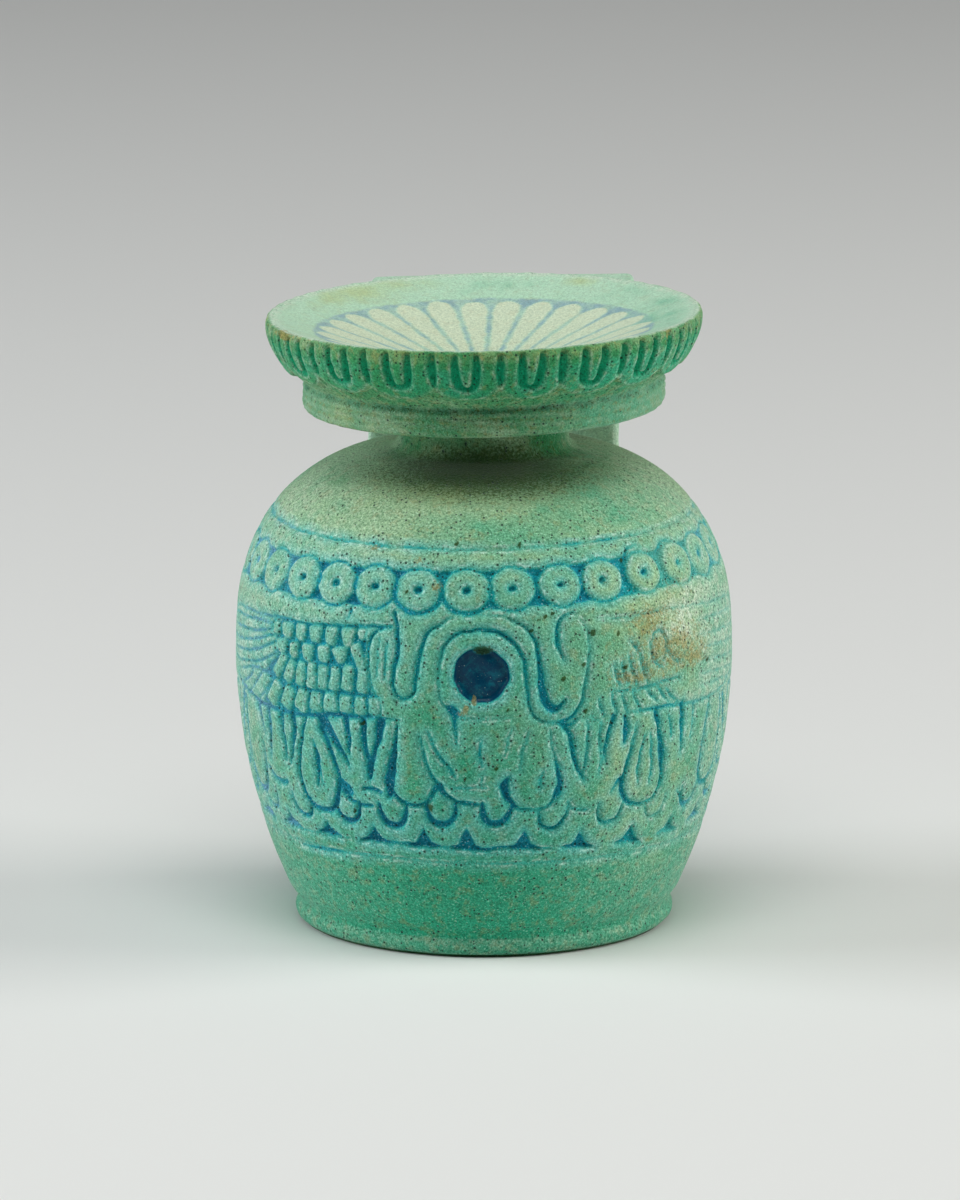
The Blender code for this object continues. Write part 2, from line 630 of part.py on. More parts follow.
def build_outside(shell):
    """The outside from the underside to the lip, in rings and carved patches. Returns the rim's ring."""
    body = Relief(body_radius, level(CARVED_FROM), level(CARVED_TO))
    carve_body(body)
    foot_radius = float(body_radius(FOOT_EDGE))
    foot = shell.ring(foot_radius - FOOT_CHAMFER, 0.0)
    shell.faces.append(tuple(foot))
    low, high = carved_patch(shell, body, BODY_ROW_GAP)
    side = [(foot_radius, FOOT_CHAMFER), (foot_radius, FOOT_EDGE)]
    side += [(float(body_radius(height)), height) for height in np.linspace(FOOT_EDGE, body.low, 3)[1:-1]]
    shell.bridge(shell.turned(foot, side), low)
    shoulder = np.linspace(body.high, BODY_HEIGHT - 0.4 * NECK_FILLET, 6)[1:-1]
    outline = [(float(body_radius(height)), height) for height in shoulder]
    outline += [(NECK_RADIUS + NECK_FILLET, BODY_HEIGHT - 0.1 * NECK_FILLET),
                (NECK_RADIUS + 0.3 * NECK_FILLET, BODY_HEIGHT + 0.3 * NECK_FILLET),
                (NECK_RADIUS, BODY_HEIGHT + NECK_FILLET),
                (NECK_RADIUS, COLLAR_BOTTOM),
                (COLLAR_RADIUS - COLLAR_EDGE, COLLAR_BOTTOM),
                (COLLAR_RADIUS, COLLAR_BOTTOM + COLLAR_EDGE),
                (COLLAR_RADIUS, COLLAR_TOP - WALL_SLOPE)]
    mouth = Relief(mouth_radius, COLLAR_TOP + WALL_SLOPE, HEIGHT - LIP_DROP)
    carve_leaves(mouth)
    low, upper = carved_patch(shell, mouth, MOUTH_ROW_GAP)
    shell.bridge(shell.turned(high, outline), low)
    lip = [(LIP_RADIUS - 0.02 * LIP_THICKNESS, HEIGHT - 0.5 * LIP_DROP),
           (LIP_RADIUS - 0.25 * LIP_THICKNESS, HEIGHT - 0.1 * LIP_DROP),
           (LIP_RADIUS - 0.6 * LIP_THICKNESS, HEIGHT),
           (LIP_RADIUS - LIP_THICKNESS, HEIGHT - 0.1 * LIP_DROP)]
    return shell.turned(upper, lip)


def build_inside(shell, rim):
    """The dish, the bore of the neck and the hollow of the body, down to its floor."""
    top = BODY_HEIGHT - SHOULDER_WALL
    flare = ORIFICE_RADIUS + ORIFICE_ROUND
    funnel = np.linspace(LIP_RADIUS - LIP_THICKNESS, flare, 4)[1:]
    dish = [(radius, float(dish_height(radius))) for radius in funnel]
    bore = [(ORIFICE_RADIUS, HEIGHT - DISH_DEPTH - ORIFICE_ROUND), (ORIFICE_RADIUS, top)]
    arch = [BELLY_HEIGHT + (top - BELLY_HEIGHT) * share for share in (0.985, 0.9, 0.72, 0.4, 0.0)]
    sides = arch + [0.5 * (BELLY_HEIGHT + FLOOR), FLOOR + FLOOR_ROUND]
    hollow = [(float(hollow_radius(height)), height) for height in sides]
    hollow.append((float(hollow_radius(FLOOR)) - FLOOR_ROUND, FLOOR))
    shell.faces.append(tuple(shell.turned(rim, dish + bore + hollow, INNER_COLUMNS)))


def lean(points):
    """Tip everything above the neck sideways by the mouth's lean, rising towards +X."""
    span = COLLAR_BOTTOM - BODY_HEIGHT
    share = np.clip((points[:, 2] - BODY_HEIGHT) / span, 0.0, 1.0)
    outside = np.hypot(points[:, 0], points[:, 1]) / LIP_RADIUS
    rise = points[:, 0] * math.tan(math.radians(MOUTH_LEAN)) * share * np.clip(outside * 3.0, 0.0, 1.0)
    return points + np.stack([np.zeros(len(points)), np.zeros(len(points)), rise], axis=1)


def mesh_object(name, points, faces):
    """A mesh object from points in millimetres, with its faces turned outwards."""
    mesh = bpy.data.meshes.new(name)
    mesh.from_pydata([tuple(point) for point in np.asarray(points) * MM], [], faces)
    solid = bmesh.new()
    solid.from_mesh(mesh)
    bmesh.ops.recalc_face_normals(solid, faces=solid.faces)
    solid.to_mesh(mesh)
    solid.free()
    thing = bpy.data.objects.new(name, mesh)
    bpy.context.scene.collection.objects.link(thing)
    return thing


def behind(radius, across):
    """How far behind the axis a round form's surface lies, at a place across the handle."""
    return math.sqrt(max(radius ** 2 - across ** 2, 0.0))


def handle_section(across):
    """The handle's outline in depth and height, at a place across its width."""
    back = LIP_RADIUS + PLAQUE_STAND
    front = back - HANDLE_THICKNESS
    top = HEIGHT - PLAQUE_DROP
    under = top - PLAQUE_THICKNESS
    rim = behind(LIP_RADIUS - PLAQUE_BITE, across)
    wall = behind(float(mouth_radius(under)) - PLAQUE_BITE, across)
    seat = behind(float(body_radius(level(HANDLE_FOOT))), across) - HANDLE_SINK
    fall = COLLAR_BOTTOM - level(HANDLE_FOOT)
    bend = [(back - (back - seat) * share ** 2, COLLAR_BOTTOM - fall * share) for share in (0.0, 0.4, 0.7, 1.0)]
    plaque = [(rim, top), (back - HANDLE_EDGE, top), (back - 0.3 * HANDLE_EDGE, top - 0.3 * HANDLE_EDGE),
              (back, top - HANDLE_EDGE)]
    inner = [(depth - HANDLE_THICKNESS, height) for depth, height in bend[::-1]]
    corner = [(front, under - PLAQUE_FILLET), (front - 0.3 * PLAQUE_FILLET, under - 0.3 * PLAQUE_FILLET),
              (front - PLAQUE_FILLET, under), (min(front - 2.0 * PLAQUE_FILLET, wall), under)]
    return plaque + bend + inner + corner


def inset(section, amount):
    """A closed outline drawn in by an amount, on all its sides."""
    section = np.array(section)
    ahead = np.roll(section, -1, axis=0) - section
    ahead /= np.linalg.norm(ahead, axis=1)[:, None]
    normal = np.stack([ahead[:, 1], -ahead[:, 0]], axis=1)
    turn = normal + np.roll(normal, 1, axis=0)
    turn /= np.maximum((turn ** 2).sum(axis=1), 0.5)[:, None] / 2.0
    return section + turn * amount


def build_handle():
    """The strap handle: a plaque behind the mouth that turns down to the shoulder."""
    half = HANDLE_WIDTH / 2.0
    sides = [(half, 0.55 * HANDLE_EDGE), (half - 0.35 * HANDLE_EDGE, 0.12 * HANDLE_EDGE)]
    places = [(-across, amount) for across, amount in sides]
    places += [(across, 0.0) for across in np.linspace(HANDLE_EDGE - half, half - HANDLE_EDGE, 5)]
    places += sides[::-1]
    points = []
    for across, amount in places:
        points.extend((across, depth, height) for depth, height in inset(handle_section(across), amount))
    count = len(points) // len(places)
    faces = [tuple(range(count)), tuple(range(len(points) - count, len(points)))]
    for place in range(len(places) - 1):
        for i in range(count):
            j = (i + 1) % count
            here = place * count
            faces.append((here + i, here + j, here + count + j, here + count + i))
    points = np.array(points)
    turn = math.radians(HANDLE_TURN)
    turned = np.stack([points[:, 0] * math.cos(turn) + points[:, 1] * math.sin(turn),
                       points[:, 1] * math.cos(turn) - points[:, 0] * math.sin(turn), points[:, 2]], axis=1)
    handle = mesh_object("handle_form", lean(turned), faces)
    handle.hide_render = True
    handle.display_type = "WIRE"
    return handle


def faience():
    """Matt green-blue glazed faience."""
    material = bpy.data.materials.new("green_faience")
    material.use_nodes = True
    shader = material.node_tree.nodes["Principled BSDF"]
    shader.inputs["Base Color"].default_value = (0.17, 0.42, 0.29, 1.0)
    shader.inputs["Roughness"].default_value = 0.55
    shader.inputs["Metallic"].default_value = 0.0
    return material


def main():
    for thing in list(bpy.data.objects):
        bpy.data.objects.remove(thing)
    shell = Shell()
    build_inside(shell, build_outside(shell))
    vessel = mesh_object("aryballos", lean(np.array(shell.points)), shell.faces)
    join = vessel.modifiers.new("handle", "BOOLEAN")
    join.operation = "UNION"
    join.solver = "EXACT"
    join.object = build_handle()
    vessel.data.materials.append(faience())


main()
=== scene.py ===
"""A small faience oil flask: carved belly, fluted mouth with a painted dish, and a strap handle behind.

Laid out as an add-on and run as a script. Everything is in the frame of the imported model: +Z up, the
underside at Z 0, the front towards -Y. Sizes are in millimetres until a mesh is made. Angles round the
girth are in degrees, 0 at the front and positive towards +X. A route is a run of (angle, height) pairs. A
carved line is (width, depth, glaze, route), where the glaze is how blue the pool in it is, from 0 to 1, and
the width and the glaze may each be a run of values that are spread along the route.
"""
import math

import bpy
import numpy as np
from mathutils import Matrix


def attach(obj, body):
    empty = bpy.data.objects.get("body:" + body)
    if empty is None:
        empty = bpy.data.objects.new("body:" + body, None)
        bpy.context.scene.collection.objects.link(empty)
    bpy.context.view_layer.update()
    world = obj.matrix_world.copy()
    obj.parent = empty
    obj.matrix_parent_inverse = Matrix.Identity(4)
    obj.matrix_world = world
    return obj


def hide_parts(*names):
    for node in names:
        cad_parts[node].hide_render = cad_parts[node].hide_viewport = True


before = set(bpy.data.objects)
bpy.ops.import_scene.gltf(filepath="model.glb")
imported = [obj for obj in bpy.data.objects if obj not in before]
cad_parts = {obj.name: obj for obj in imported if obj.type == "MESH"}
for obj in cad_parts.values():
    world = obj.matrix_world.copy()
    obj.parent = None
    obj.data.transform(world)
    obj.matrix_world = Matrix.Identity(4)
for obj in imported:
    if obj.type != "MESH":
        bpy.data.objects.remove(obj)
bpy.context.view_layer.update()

bl_info = {
    "name": "Faience oil flask",
    "version": (1, 0, 0),
    "blender": (4, 5, 0),
    "location": "3D View > Sidebar > Flask",
    "description": "Builds a carved and glazed faience flask on a plain pale stage",
    "category": "Object",
}

MM = 0.001

# How the turned form bends
SHOULDER_BEND, SHOULDER_CLOSE = 2.55, 0.51
MOUTH_BEND, MOUTH_CLOSE = 1.6, 0.75

# How fine the skin is: columns all round, degrees between them in front, and gaps along the profile
BODY_COLUMNS, MOUTH_COLUMNS = 532, 720
FRONT_PITCH, FRONT_SPAN = 0.485, 76.0
CARVED_GAP, LEAF_GAP, DISH_GAP = 0.28, 0.22, 0.34

# Where the carved zone of the belly lies
CARVED_FROM, CARVED_TO = 10.3, 45.5
# How far inside a cut a point far from every one counts as being, and how wide a cut's sloping side is
OUTSIDE, SLOPE = -1.7, 0.3
# How carved edges stray from where they are drawn: (amount, size of the waves, seed) in angle and in height
STRAY_ANGLE, STRAY_HEIGHT = (0.16, 2.3, 1.0), (0.055, 2.0, 2.0)
# The radius that wandering waves are laid out on
WAVE_RADIUS = 25.0
# How skins wander where they aren't carved: (amount, size of the waves, seed, least radius)
BODY_WANDER, MOUTH_WANDER = (0.03, 7.0, 4.0, 3.0), (0.035, 5.0, 8.0, 6.0)


def linear(code):
    """An sRGB hex colour as linear red, green and blue."""
    parts = [int(code[i:i + 2], 16) / 255.0 for i in (1, 3, 5)]
    return tuple(part / 12.92 if part <= 0.04045 else ((part + 0.055) / 1.055) ** 2.4 for part in parts)


def length(name, description, size):
    """A length property, given in millimetres."""
    return bpy.props.FloatProperty(name=name, description=description, default=size * MM, min=0.0,
                                   subtype="DISTANCE", unit="LENGTH", precision=5)


def turning(name, description, degrees):
    """An angle property, given in degrees."""
    return bpy.props.FloatProperty(name=name, description=description, default=math.radians(degrees),
                                   subtype="ANGLE", unit="ROTATION")


def colour(name, description, code):
    """A colour property, given as an sRGB hex value."""
    return bpy.props.FloatVectorProperty(name=name, description=description, default=linear(code),
                                         subtype="COLOR", size=3, min=0.0, max=1.0)


class FlaskSizes(bpy.types.PropertyGroup):
    """Sizes of the turned form and the handle."""

    body_height: length("Body height", "From the underside to the foot of the neck", 51.4)
    neck_length: length("Neck length", "Between the shoulder and the collar", 4.5)
    collar_length: length("Collar length", "Height of the plain band under the leaves", 3.1)
    mouth_length: length("Mouth length", "From the collar to the lip", 7.0)
    belly_radius: length("Belly radius", "Widest radius of the body", 26.62)
    belly_height: length("Belly height", "Level of the widest place", 29.6)
    lower_draft: length("Lower draft", "How much the body draws in down to its foot", 7.45)
    neck_radius: length("Neck radius", "Outside radius of the neck", 9.1)
    neck_fillet: length("Neck fillet", "Rounding where the neck meets the shoulder", 1.3)
    collar_radius: length("Collar radius", "Outside radius of the collar", 19.4)
    mouth_flare: length("Mouth flare", "How much the mouth widens above the collar", 3.93)
    lip_drop: length("Lip drop", "Height of the rounded lip", 1.0)
    lip_thickness: length("Lip thickness", "Width of the lip", 0.9)
    dish_depth: length("Dish depth", "How deep the dish falls to the orifice", 5.7)
    orifice_radius: length("Orifice radius", "Radius of the bore through the neck", 4.6)
    wall: length("Wall", "Thickness of the body's wall", 4.0)
    floor: length("Floor", "Thickness of the bottom", 4.5)
    shoulder_wall: length("Shoulder wall", "Thickness of the wall at the top of the shoulder", 3.6)
    handle_width: length("Handle width", "Width of the strap", 27.3)
    handle_thickness: length("Handle thickness", "Thickness of the strap", 3.6)
    plaque_stand: length("Plaque stand", "How far the strap stands behind the lip", 1.45)
    plaque_drop: length("Plaque drop", "How far the plaque's top lies below the lip", 0.42)
    plaque_thickness: length("Plaque thickness", "Height of the plaque behind the lip", 4.0)
    handle_foot: length("Handle foot", "Level where the strap runs into the shoulder", 45.4)
    mouth_lean: turning("Mouth lean", "How far the mouth tips sideways", 1.2)
    handle_turn: turning("Handle turn", "How far round the strap is set", 3.0)


class FlaskColours(bpy.types.PropertyGroup):
    """Colours of the glaze, the painting and the wear, and of the painted shade and painted highlights."""

    lower: colour("Lower glaze", "Turquoise green of the lower body", "#37aa85")
    belly: colour("Belly glaze", "Green of the carved belly", "#6cb68f")
    upper: colour("Shoulder glaze", "Pale yellowish green of the shoulder", "#9bc398")
    leaves: colour("Leaf glaze", "Olive green of the leaves on the mouth", "#35965c")
    # Also laid on the strap as painted light, so that it looks lit in the mouth's shade
    dish: colour("Dish glaze", "Pale mint of the dish", "#b7dec3")
    petals: colour("Petals", "Cream of the painted petals", "#d2e1c6")
    lines: colour("Petal lines", "Greyed blue lines between the petals", "#88adb9")
    wash: colour("Wash", "Pale blue-green wash that has run out round the cuts", "#84d2ca")
    film: colour("Thin pool", "Green-blue where little glaze has pooled", "#2cb4aa")
    teal: colour("Middling pool", "Teal of the grooves", "#0aa0a2")
    blue: colour("Blue pool", "Blue of the well-filled grooves", "#0696a8")
    deep: colour("Deep pool", "Darker blue of the deepest cuts", "#087f98")
    lilac: colour("Lilac pool", "Milky lilac blue where the pooled glaze has clouded", "#8fb0d8")
    glass: colour("Disc", "Navy glass in the sun disc", "#003f5c")
    pits: colour("Pits", "Burst bubbles filled with dirt", "#1b3b30")
    # Also laid along the cuts' edges as a painted highlight
    grit_and_highlight: colour("Grit", "Pale quartz grains in the glaze", "#cdf4ea")
    # Also painted sheen and highlight: the body's sides seen edge on, the leaves' sides and ridges, the lip, the
    # foot's ledge and the strap
    rubbed: colour("Rubbed edges", "Pale body where the glaze is rubbed thin", "#c8dfca")
    ochre: colour("Ochre stain", "Brown earth stain", "#9c8b48")
    olive: colour("Yellow patches", "Yellowed patches of glaze", "#b7c98c")
    fresh: colour("Turquoise patches", "Fresher, bluer patches of glaze", "#2fae88")
    flute: colour("Leaf grooves", "Dark green glaze in the grooves of the leaves", "#029c70")
    # Also painted shade: darkens under the mouth and on the collar under the leaves, and low on the foot, besides the
    # dirt in the pits and the brown by the lip
    grime: colour("Grime", "Dark dirt left under the mouth", "#26460a")


class Form:
    """The turned form in millimetres, worked out from the sizes in the sidebar.

    Below the belly the radius is the belly's less the draft times the square of the share of the way
    down. Above it the shoulder closes in as (1 - share ** 2.55) ** 0.51. The mouth swells from the collar
    as (1 - fall ** 1.6) ** 0.75, where fall is the share of the way down from the lip.
    """

    def __init__(self, sizes):
        for name in FlaskSizes.__annotations__:
            setattr(self, name, getattr(sizes, name) / MM)
        self.mouth_lean, self.handle_turn = sizes.mouth_lean, sizes.handle_turn
        self.collar_bottom = self.body_height + self.neck_length
        self.collar_top = self.collar_bottom + self.collar_length
        self.height = self.collar_top + self.mouth_length
        self.lip_radius = self.collar_radius + self.mouth_flare
        self.inner_lip = self.lip_radius - self.lip_thickness
        self.hollow_top = self.body_height - self.shoulder_wall

    def closing(self, height, top):
        """How far the shoulder is still open at a height, from 1 at the belly to 0 at its top."""
        share = np.clip((height - self.belly_height) / (top - self.belly_height), 0.0, 1.0)
        return (1.0 - share ** SHOULDER_BEND) ** SHOULDER_CLOSE

    def body_radius(self, height):
        below = np.clip((self.belly_height - height) / self.belly_height, 0.0, 1.0)
        shoulder = (self.belly_radius - self.neck_radius) * self.closing(height, self.body_height)
        return np.where(height < self.belly_height, self.belly_radius - self.lower_draft * below ** 2,
                        self.neck_radius + shoulder)

    def hollow_radius(self, height):
        shoulder = (self.belly_radius - self.wall - self.orifice_radius) * self.closing(height, self.hollow_top)
        return np.where(height < self.belly_height, self.body_radius(height) - self.wall,
                        self.orifice_radius + shoulder)

    def mouth_radius(self, height):
        lip = self.height - self.lip_drop
        fall = np.clip((lip - height) / (lip - self.collar_top), 0.0, 1.0)
        return self.collar_radius + self.mouth_flare * (1.0 - fall ** MOUTH_BEND) ** MOUTH_CLOSE

    def dish_height(self, radius):
        return self.height - self.dish_depth * (self.inner_lip - radius) / (self.inner_lip - self.orifice_radius)

    def lean(self, points):
        """Points above the neck rise towards +X by their distance across times the lean's tangent."""
        share = np.clip((points[..., 2] - self.body_height) / self.neck_length, 0.0, 1.0)
        outside = np.clip(3.0 * np.hypot(points[..., 0], points[..., 1]) / self.lip_radius, 0.0, 1.0)
        leaned = points.copy()
        leaned[..., 2] += points[..., 0] * math.tan(self.mouth_lean) * share * outside
        return leaned


def ease(share):
    """A smooth step from 0 to 1."""
    share = np.clip(share, 0.0, 1.0)
    return share * share * (3.0 - 2.0 * share)


def wrapped(angle):
    """An angle brought to between -180 and 180 degrees."""
    return (angle + 180.0) % 360.0 - 180.0


def waves(angle, height, size, seed):
    """A smooth wander between -1 and 1: a sum of sines of slanting waves about the size in millimetres."""
    x = np.radians(angle) * WAVE_RADIUS
    total = 0.0
    for step in range(4):
        turn = seed * 1.7 + step * 2.4
        pitch = 2.0 * math.pi / (size * (0.75 + 0.22 * step))
        # A whole number of waves round the girth, so that they meet at the back
        across = round(math.cos(turn) * pitch * WAVE_RADIUS) / WAVE_RADIUS
        total = total + np.sin(across * x + math.sin(turn) * pitch * height + 5.1 * seed + 1.3 * step)
    return total / 2.6


def hashed(numbers, seed):
    """A fixed scatter between -1 and 1 for a run of numbers."""
    return np.modf(np.sin(np.asarray(numbers, dtype=float) * 12.9898 + seed * 78.233) * 43758.5453)[0]


def girth(columns, pitch, span, fade=16.0):
    """Column angles all round: a pitch apart within the span on both sides of the front, wider behind.

    The pitch changes over the fade.
    """
    angles = np.linspace(-180.0, 180.0, 7201)
    behind = (columns - 2.0 * span / pitch) / (360.0 - 2.0 * span)
    density = behind + (1.0 / pitch - behind) * ease((span + 0.5 * fade - np.abs(angles)) / fade)
    total = np.concatenate([[0.0], np.cumsum(0.5 * (density[1:] + density[:-1]))])
    return np.interp(np.arange(columns) / columns * total[-1], total, angles)


def even(profile, gap):
    """A (radius, height) profile walked at even steps of about the gap."""
    profile = np.array(profile, dtype=float)
    along = np.concatenate([[0.0], np.cumsum(np.hypot(*np.diff(profile, axis=0).T))])
    walk = np.linspace(0.0, along[-1], max(2, int(round(along[-1] / gap)) + 1))
    return np.stack([np.interp(walk, along, profile[:, 0]), np.interp(walk, along, profile[:, 1])], axis=1)


def cove(radius, height, wide, tall, start, end, count):
    """A round from start to end degrees that leaves (radius, height) by wide and tall."""
    return [(radius + wide * (1.0 - math.cos(t)), height + tall * (1.0 - math.sin(t)))
            for t in np.radians(np.linspace(start, end, count))]


def curve(route, steps=5):
    """A smooth curve through a route, by the Catmull-Rom formula, all of its pieces at once."""
    if len(route) < 3:
        return route
    padded = np.concatenate([[2.0 * route[0] - route[1]], route, [2.0 * route[-1] - route[-2]]])
    before, start, end, after = padded[:-3, None], padded[1:-2, None], padded[2:-1, None], padded[3:, None]
    t = np.linspace(0.0, 1.0, steps, endpoint=False)[None, :, None]
    run = 0.5 * (2.0 * start + (end - before) * t + (2.0 * before - 5.0 * start + 4.0 * end - after) * t ** 2
                 + (3.0 * start - before - 3.0 * end + after) * t ** 3)
    return np.concatenate([run.reshape(-1, 2), route[-1:]])


def spread(run, count):
    """A single value or a run of them, spread evenly over a count of places."""
    return np.interp(np.linspace(0.0, 1.0, count), np.linspace(0.0, 1.0, np.size(run)), np.atleast_1d(run))


def nearest(points, start, end):
    """For each point, how far along each run from start to end its nearest place is, and how far off."""
    run = end - start
    away = points[:, None, :] - start[None]
    t = np.clip((away * run).sum(axis=2) / np.maximum((run ** 2).sum(axis=1), 1e-9), 0.0, 1.0)
    return t, np.linalg.norm(away - t[..., None] * run, axis=2)


def spaced(start, end, count):
    """Angles set evenly from after the start to before the end, going round by the back."""
    return start + (end - start) * (np.arange(count) + 1.0) / (count + 1.0)


class Carving:
    """The cuts in a turned surface: at each point how deep, how far inside a cut, and how blue the glaze.

    Each cut is a distance: how far inside its edge a point lies, in millimetres on the surface. The depth
    eases in over the slope inside that edge, and the deepest cut wins.
    """

    def __init__(self, angle, height, radius_at):
        self.shape = angle.shape
        self.angle, self.height = angle.ravel(), height.ravel()
        self.everywhere = np.arange(self.angle.size)
        self.radius_at = radius_at
        self.levels = np.linspace(height.min() - 2.0, height.max() + 2.0, 400)
        run = np.hypot(np.diff(self.levels), np.diff(radius_at(self.levels)))
        self.along = np.concatenate([[0.0], np.cumsum(run)])
        self.seen_angle, self.seen_height = (
            seen + amount * waves(self.angle, self.height, size, seed)
            for seen, (amount, size, seed) in ((self.angle, STRAY_ANGLE), (self.height, STRAY_HEIGHT)))
        self.radius = radius_at(self.height)
        self.arc = self.rise(self.seen_height)
        self.depth, self.pool = np.zeros(self.angle.size), np.zeros(self.angle.size)
        self.inside = np.full(self.angle.size, OUTSIDE)

    def rise(self, height):
        """Distance along the profile at a height."""
        return np.interp(height, self.levels, self.along)

    def flat(self, route, middle):
        """A route laid flat in millimetres round its middle angle."""
        return np.stack([np.radians(wrapped(route[:, 0] - middle)) * self.radius_at(route[:, 1]),
                         self.rise(route[:, 1])], axis=1)

    def near(self, route, margin=2.0):
        """The points in the box round a route, widened by a margin: which, laid flat, and the box's middle."""
        low, high = np.min(route, axis=0), np.max(route, axis=0)
        middle = 0.5 * (low[0] + high[0])
        away = wrapped(self.seen_angle - middle)
        wide = 0.5 * (high[0] - low[0]) + np.degrees(margin / self.radius)
        chosen = np.nonzero((np.abs(away) < wide) & (self.height > low[1] - margin)
                            & (self.height < high[1] + margin))[0]
        return chosen, np.stack([np.radians(away[chosen]) * self.radius[chosen], self.arc[chosen]], axis=1), middle

    def sink(self, chosen, inside, depth, pool, slope=SLOPE):
        """Cut the chosen points to a depth, as far as they are inside, and pool glaze there."""
        cut = depth * ease((inside + 0.05) / slope)
        self.depth[chosen] = np.maximum(self.depth[chosen], cut)
        better = inside > self.inside[chosen]
        self.pool[chosen[better]] = np.broadcast_to(pool, inside.shape)[better]
        self.inside[chosen[better]] = inside[better]

    def stroke(self, route, width, depth, pool, slope=SLOPE):
        """A groove: half its width at the nearest place of its route, less the distance to that place."""
        route = curve(np.asarray(route, dtype=float))
        half, tint = 0.5 * spread(width, len(route)), spread(pool, len(route))
        chosen, points, middle = self.near(route)
        line = self.flat(route, middle)
        inside, glaze = np.full(len(points), OUTSIDE), np.zeros(len(points))
        # A few of its runs at a time, which keeps the arrays small
        for start in range(0, len(line) - 1, 8):
            runs = slice(start, min(start + 8, len(line) - 1))
            t, far = nearest(points, line[:-1][runs], line[1:][runs])
            deep = half[runs] + t * np.diff(half)[runs] - far
            shade = tint[runs] + t * np.diff(tint)[runs]
            best = deep.argmax(axis=1)[:, None]
            deep, shade = np.take_along_axis(deep, best, 1)[:, 0], np.take_along_axis(shade, best, 1)[:, 0]
            better = deep > inside
            inside[better], glaze[better] = deep[better], shade[better]
        self.sink(chosen, inside, depth, glaze, slope)

    def draw(self, lines, around=0.0):
        """Carves lines one by one, each turned by an angle."""
        for width, depth, pool, route in lines:
            self.stroke(np.array(route, dtype=float) + (around, 0.0), width, depth, pool)

    def loop_inside(self, points, loop):
        """Distance to the nearest side of a loop, positive inside it by the even-odd rule."""
        start, end = loop, np.roll(loop, -1, axis=0)
        far = nearest(points, start, end)[1].min(axis=1)
        between = (start[:, 1] > points[:, None, 1]) != (end[:, 1] > points[:, None, 1])
        run = end - start
        rise = np.where(np.abs(run[:, 1]) < 1e-9, 1e-9, run[:, 1])
        cross = start[:, 0] + (points[:, None, 1] - start[:, 1]) / rise * run[:, 0]
        odd = ((points[:, None, 0] < cross) & between).sum(axis=1) % 2 == 1
        return np.where(odd, far, -far)

    def recess(self, loop, depth, pool, plates=(), slope=SLOPE, corner=0.33):
        """A sunk field inside a loop, with plates left standing in it.

        A plate is (top, foot, half width at the top, half width at the foot): a round-cornered board
        along the line from its top to its foot.
        """
        loop = np.array(loop, dtype=float)
        chosen, points, middle = self.near(loop)
        inside = self.loop_inside(points, self.flat(loop, middle))
        for top, foot, wide, narrow in plates:
            a, b = self.flat(np.array([top, foot], dtype=float), middle)
            long = 0.5 * np.linalg.norm(b - a)
            axis = (b - a) / (2.0 * long)
            away = points - 0.5 * (a + b)
            along, across = away @ axis, np.abs(away @ np.array([-axis[1], axis[0]]))
            half = wide + (narrow - wide) * np.clip(0.5 + 0.5 * along / long, 0.0, 1.0)
            out = np.stack([across - half + corner, np.abs(along) - long + corner], axis=1)
            plate = corner - np.linalg.norm(np.maximum(out, 0.0), axis=1) - np.minimum(out.max(axis=1), 0.0)
            inside = np.minimum(inside, -plate)
        self.sink(chosen, inside, depth, pool, slope)

    def ring(self, level, width, depth, pool):
        """A groove all round, whose level, width and glaze may vary with the angle."""
        self.sink(self.everywhere, 0.5 * width - np.abs(self.arc - self.rise(level)), depth, pool)


def strength(angle):
    """How deep blue the pooled glaze is round the girth: deepest left of the front, faint on the worn right."""
    return np.interp(wrapped(angle), (-180, -90, -66, -50, -40, -22, -12, 0, 10, 24, 33, 41, 55, 70, 100, 180),
                     (0.55, 0.62, 0.66, 0.8, 1.0, 1.0, 0.72, 0.66, 0.7, 0.88, 0.8, 0.5, 0.36, 0.5, 0.55, 0.55))


# The roundels in front, and their half width, half height and the half height of the band that holds them
ROUNDELS = (-62.3, -50.3, -38.8, -27.5, -16.3, -4.2, 7.0, 19.0, 30.5, 43.5, 57.0)
ROUNDEL_WIDE, ROUNDEL_TALL, BAND_REACH = 2.48, 2.28, 2.12
# Which of them are heavier underneath, and which have paler glaze in their holes
HEAVY_RIMS, PALE_HOLES = (4, 5), (0, 8, 10)


def roundel_level(angle):
    """The middle of the row of roundels, which climbs a little towards +X."""
    return 41.0 + 0.65 * np.sin(np.radians(angle))


